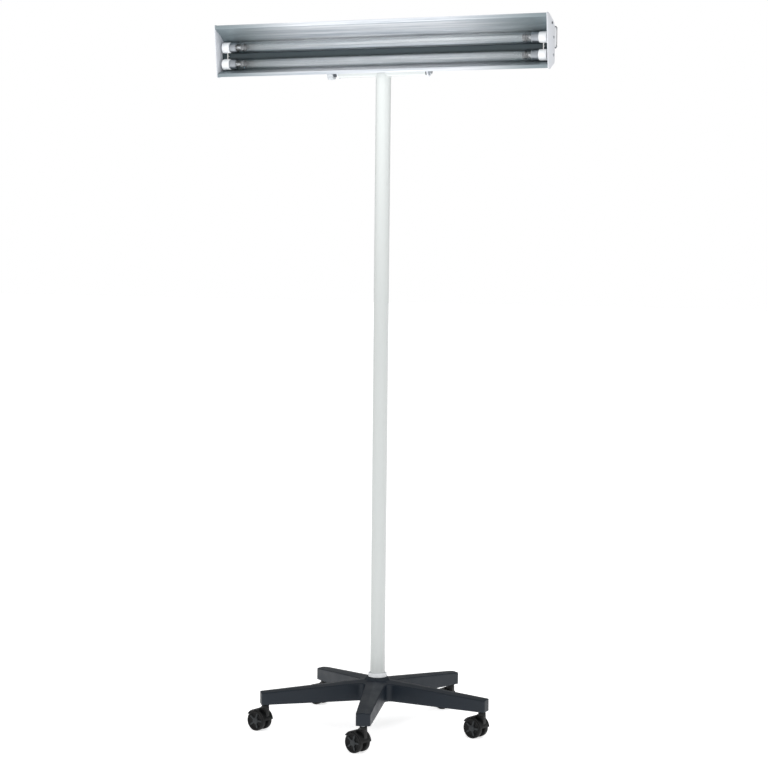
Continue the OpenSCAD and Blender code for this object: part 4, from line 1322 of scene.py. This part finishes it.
@dataclass
class Studio:
    """A pale floor, soft light and the camera. Lengths are metres and angles are degrees."""

    eye: tuple[float, float, float] = (2.320, -5.077, 1.292)
    yaw: float = 24.46
    pitch: float = -3.72
    roll: float = 0.58
    lens_mm: float = 97.9
    sensor_mm: float = 36.0
    floor_half: float = 40.0
    bright_side: tuple[float, float, float] = (0.41, -0.91, 0.0)
    room_levels: tuple[float, float] = (0.36, 0.95)
    lamp_middle: float = 1.1
    head_middle: float = 1.88

    def camera(self) -> None:
        """Points the camera: its look direction from yaw and pitch, then a small roll about it."""
        yaw, pitch, roll = (math.radians(v) for v in (self.yaw, self.pitch, self.roll))
        ahead = Vector((-math.sin(yaw) * math.cos(pitch), math.cos(yaw) * math.cos(pitch), math.sin(pitch)))
        right = Vector((math.cos(yaw), math.sin(yaw), 0.0))
        up = right.cross(ahead)
        right, up = (right * math.cos(roll) + up * math.sin(roll),
                     up * math.cos(roll) - right * math.sin(roll))
        data = bpy.data.cameras.new("camera")
        data.lens = self.lens_mm
        data.sensor_width = self.sensor_mm
        data.clip_end = 200.0
        eye = bpy.data.objects.new("camera", data)
        bpy.context.scene.collection.objects.link(eye)
        eye.matrix_world = Matrix((
            (right.x, up.x, -ahead.x, self.eye[0]),
            (right.y, up.y, -ahead.y, self.eye[1]),
            (right.z, up.z, -ahead.z, self.eye[2]),
            (0.0, 0.0, 0.0, 1.0),
        ))
        bpy.context.scene.camera = eye

    def floor(self) -> None:
        """A wide pale floor with a barely uneven matt surface."""
        h = self.floor_half
        mesh = bpy.data.meshes.new("floor")
        mesh.from_pydata([(-h, -h, 0), (h, -h, 0), (h, h, 0), (-h, h, 0)], [], [(0, 1, 2, 3)])
        floor = bpy.data.objects.new("floor", mesh)
        bpy.context.scene.collection.objects.link(floor)
        paper = Finish("studio_paper", "floor", "#fbfbfb", "#f8f8f8", 0.85, 0.03, patch_mm=900.0,
                       grain_mm=4.0, relief_mm=0.01, glow=0.62)
        floor.data.materials.append(paper.material())

    def light(self) -> None:
        """A white room light, two large soft boxes and a soft spot up into the reflector."""
        scene = bpy.context.scene
        world = bpy.data.worlds.new("white_room")
        world.use_nodes = True
        scene.world = world
        tree = world.node_tree
        tree.nodes.clear()
        way = add(tree, "ShaderNodeTexCoord").outputs["Generated"]
        facing = add(tree, "ShaderNodeVectorMath", {1: self.bright_side}, {0: way},
                     operation="DOT_PRODUCT").outputs["Value"]
        front = Finish.ramp(tree, facing, (-0.35, 0.5), self.room_levels, interpolation_type="SMOOTHSTEP")
        seen = add(tree, "ShaderNodeLightPath").outputs["Is Camera Ray"]
        level = add(tree, "ShaderNodeMix", {3: 1.0}, {0: seen, 2: front}, data_type="FLOAT")
        sky = add(tree, "ShaderNodeBackground", {"Color": linear("#ffffff")},
                  {"Strength": level.outputs[0]})
        add(tree, "ShaderNodeOutputWorld", links={"Surface": sky.outputs[0]})
        self.soft_box("key", (0.6, -4.2, 3.2), size=2.2, watts=22.0)
        self.soft_box("rear", (1.8, 3.6, 3.6), size=2.6, watts=45.0)
        self.spot("reflector_spot", (0.5, -3.0, 0.35), watts=360.0, cone=19.0)

    def soft_box(self, name: str, place: Sequence[float], size: float, watts: float) -> None:
        """A square soft light aimed at the middle of the lamp."""
        data = bpy.data.lights.new(name, "AREA")
        data.shape = "SQUARE"
        data.size = size
        data.energy = watts
        self.hang(data, place, self.lamp_middle)

    def spot(self, name: str, place: Sequence[float], watts: float, cone: float) -> None:
        """A soft-edged spot aimed at the lamp head."""
        data = bpy.data.lights.new(name, "SPOT")
        data.spot_size = math.radians(cone)
        data.spot_blend = 1.0
        data.shadow_soft_size = 0.35
        data.energy = watts
        self.hang(data, place, self.head_middle)

    @staticmethod
    def hang(data: bpy.types.Light, place: Sequence[float], height: float) -> None:
        """Puts a light in its place, aimed at a height on the column's axis and kept out of reflections."""
        light = bpy.data.objects.new(data.name, data)
        bpy.context.scene.collection.objects.link(light)
        light.location = place
        aim = Vector((0.0, 0.0, height)) - Vector(place)
        light.rotation_euler = aim.to_track_quat("-Z", "Y").to_euler()
        light.visible_glossy = False

    def build(self) -> None:
        """Sets the stage."""
        self.camera()
        self.floor()
        self.light()
        scene = bpy.context.scene
        scene.view_settings.view_transform = "Standard"
        scene.cycles.max_bounces = 24
        scene.cycles.glossy_bounces = 10
        scene.cycles.transmission_bounces = 20


def main() -> None:
    """Builds the lamp on its frame."""
    Studio().build()
    StarBase().build()
    for number in range(1, 6):
        Castor(number).build()
    Column().build()
    LampHead().build()
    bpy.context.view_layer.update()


if __name__ == "__main__":
    main()
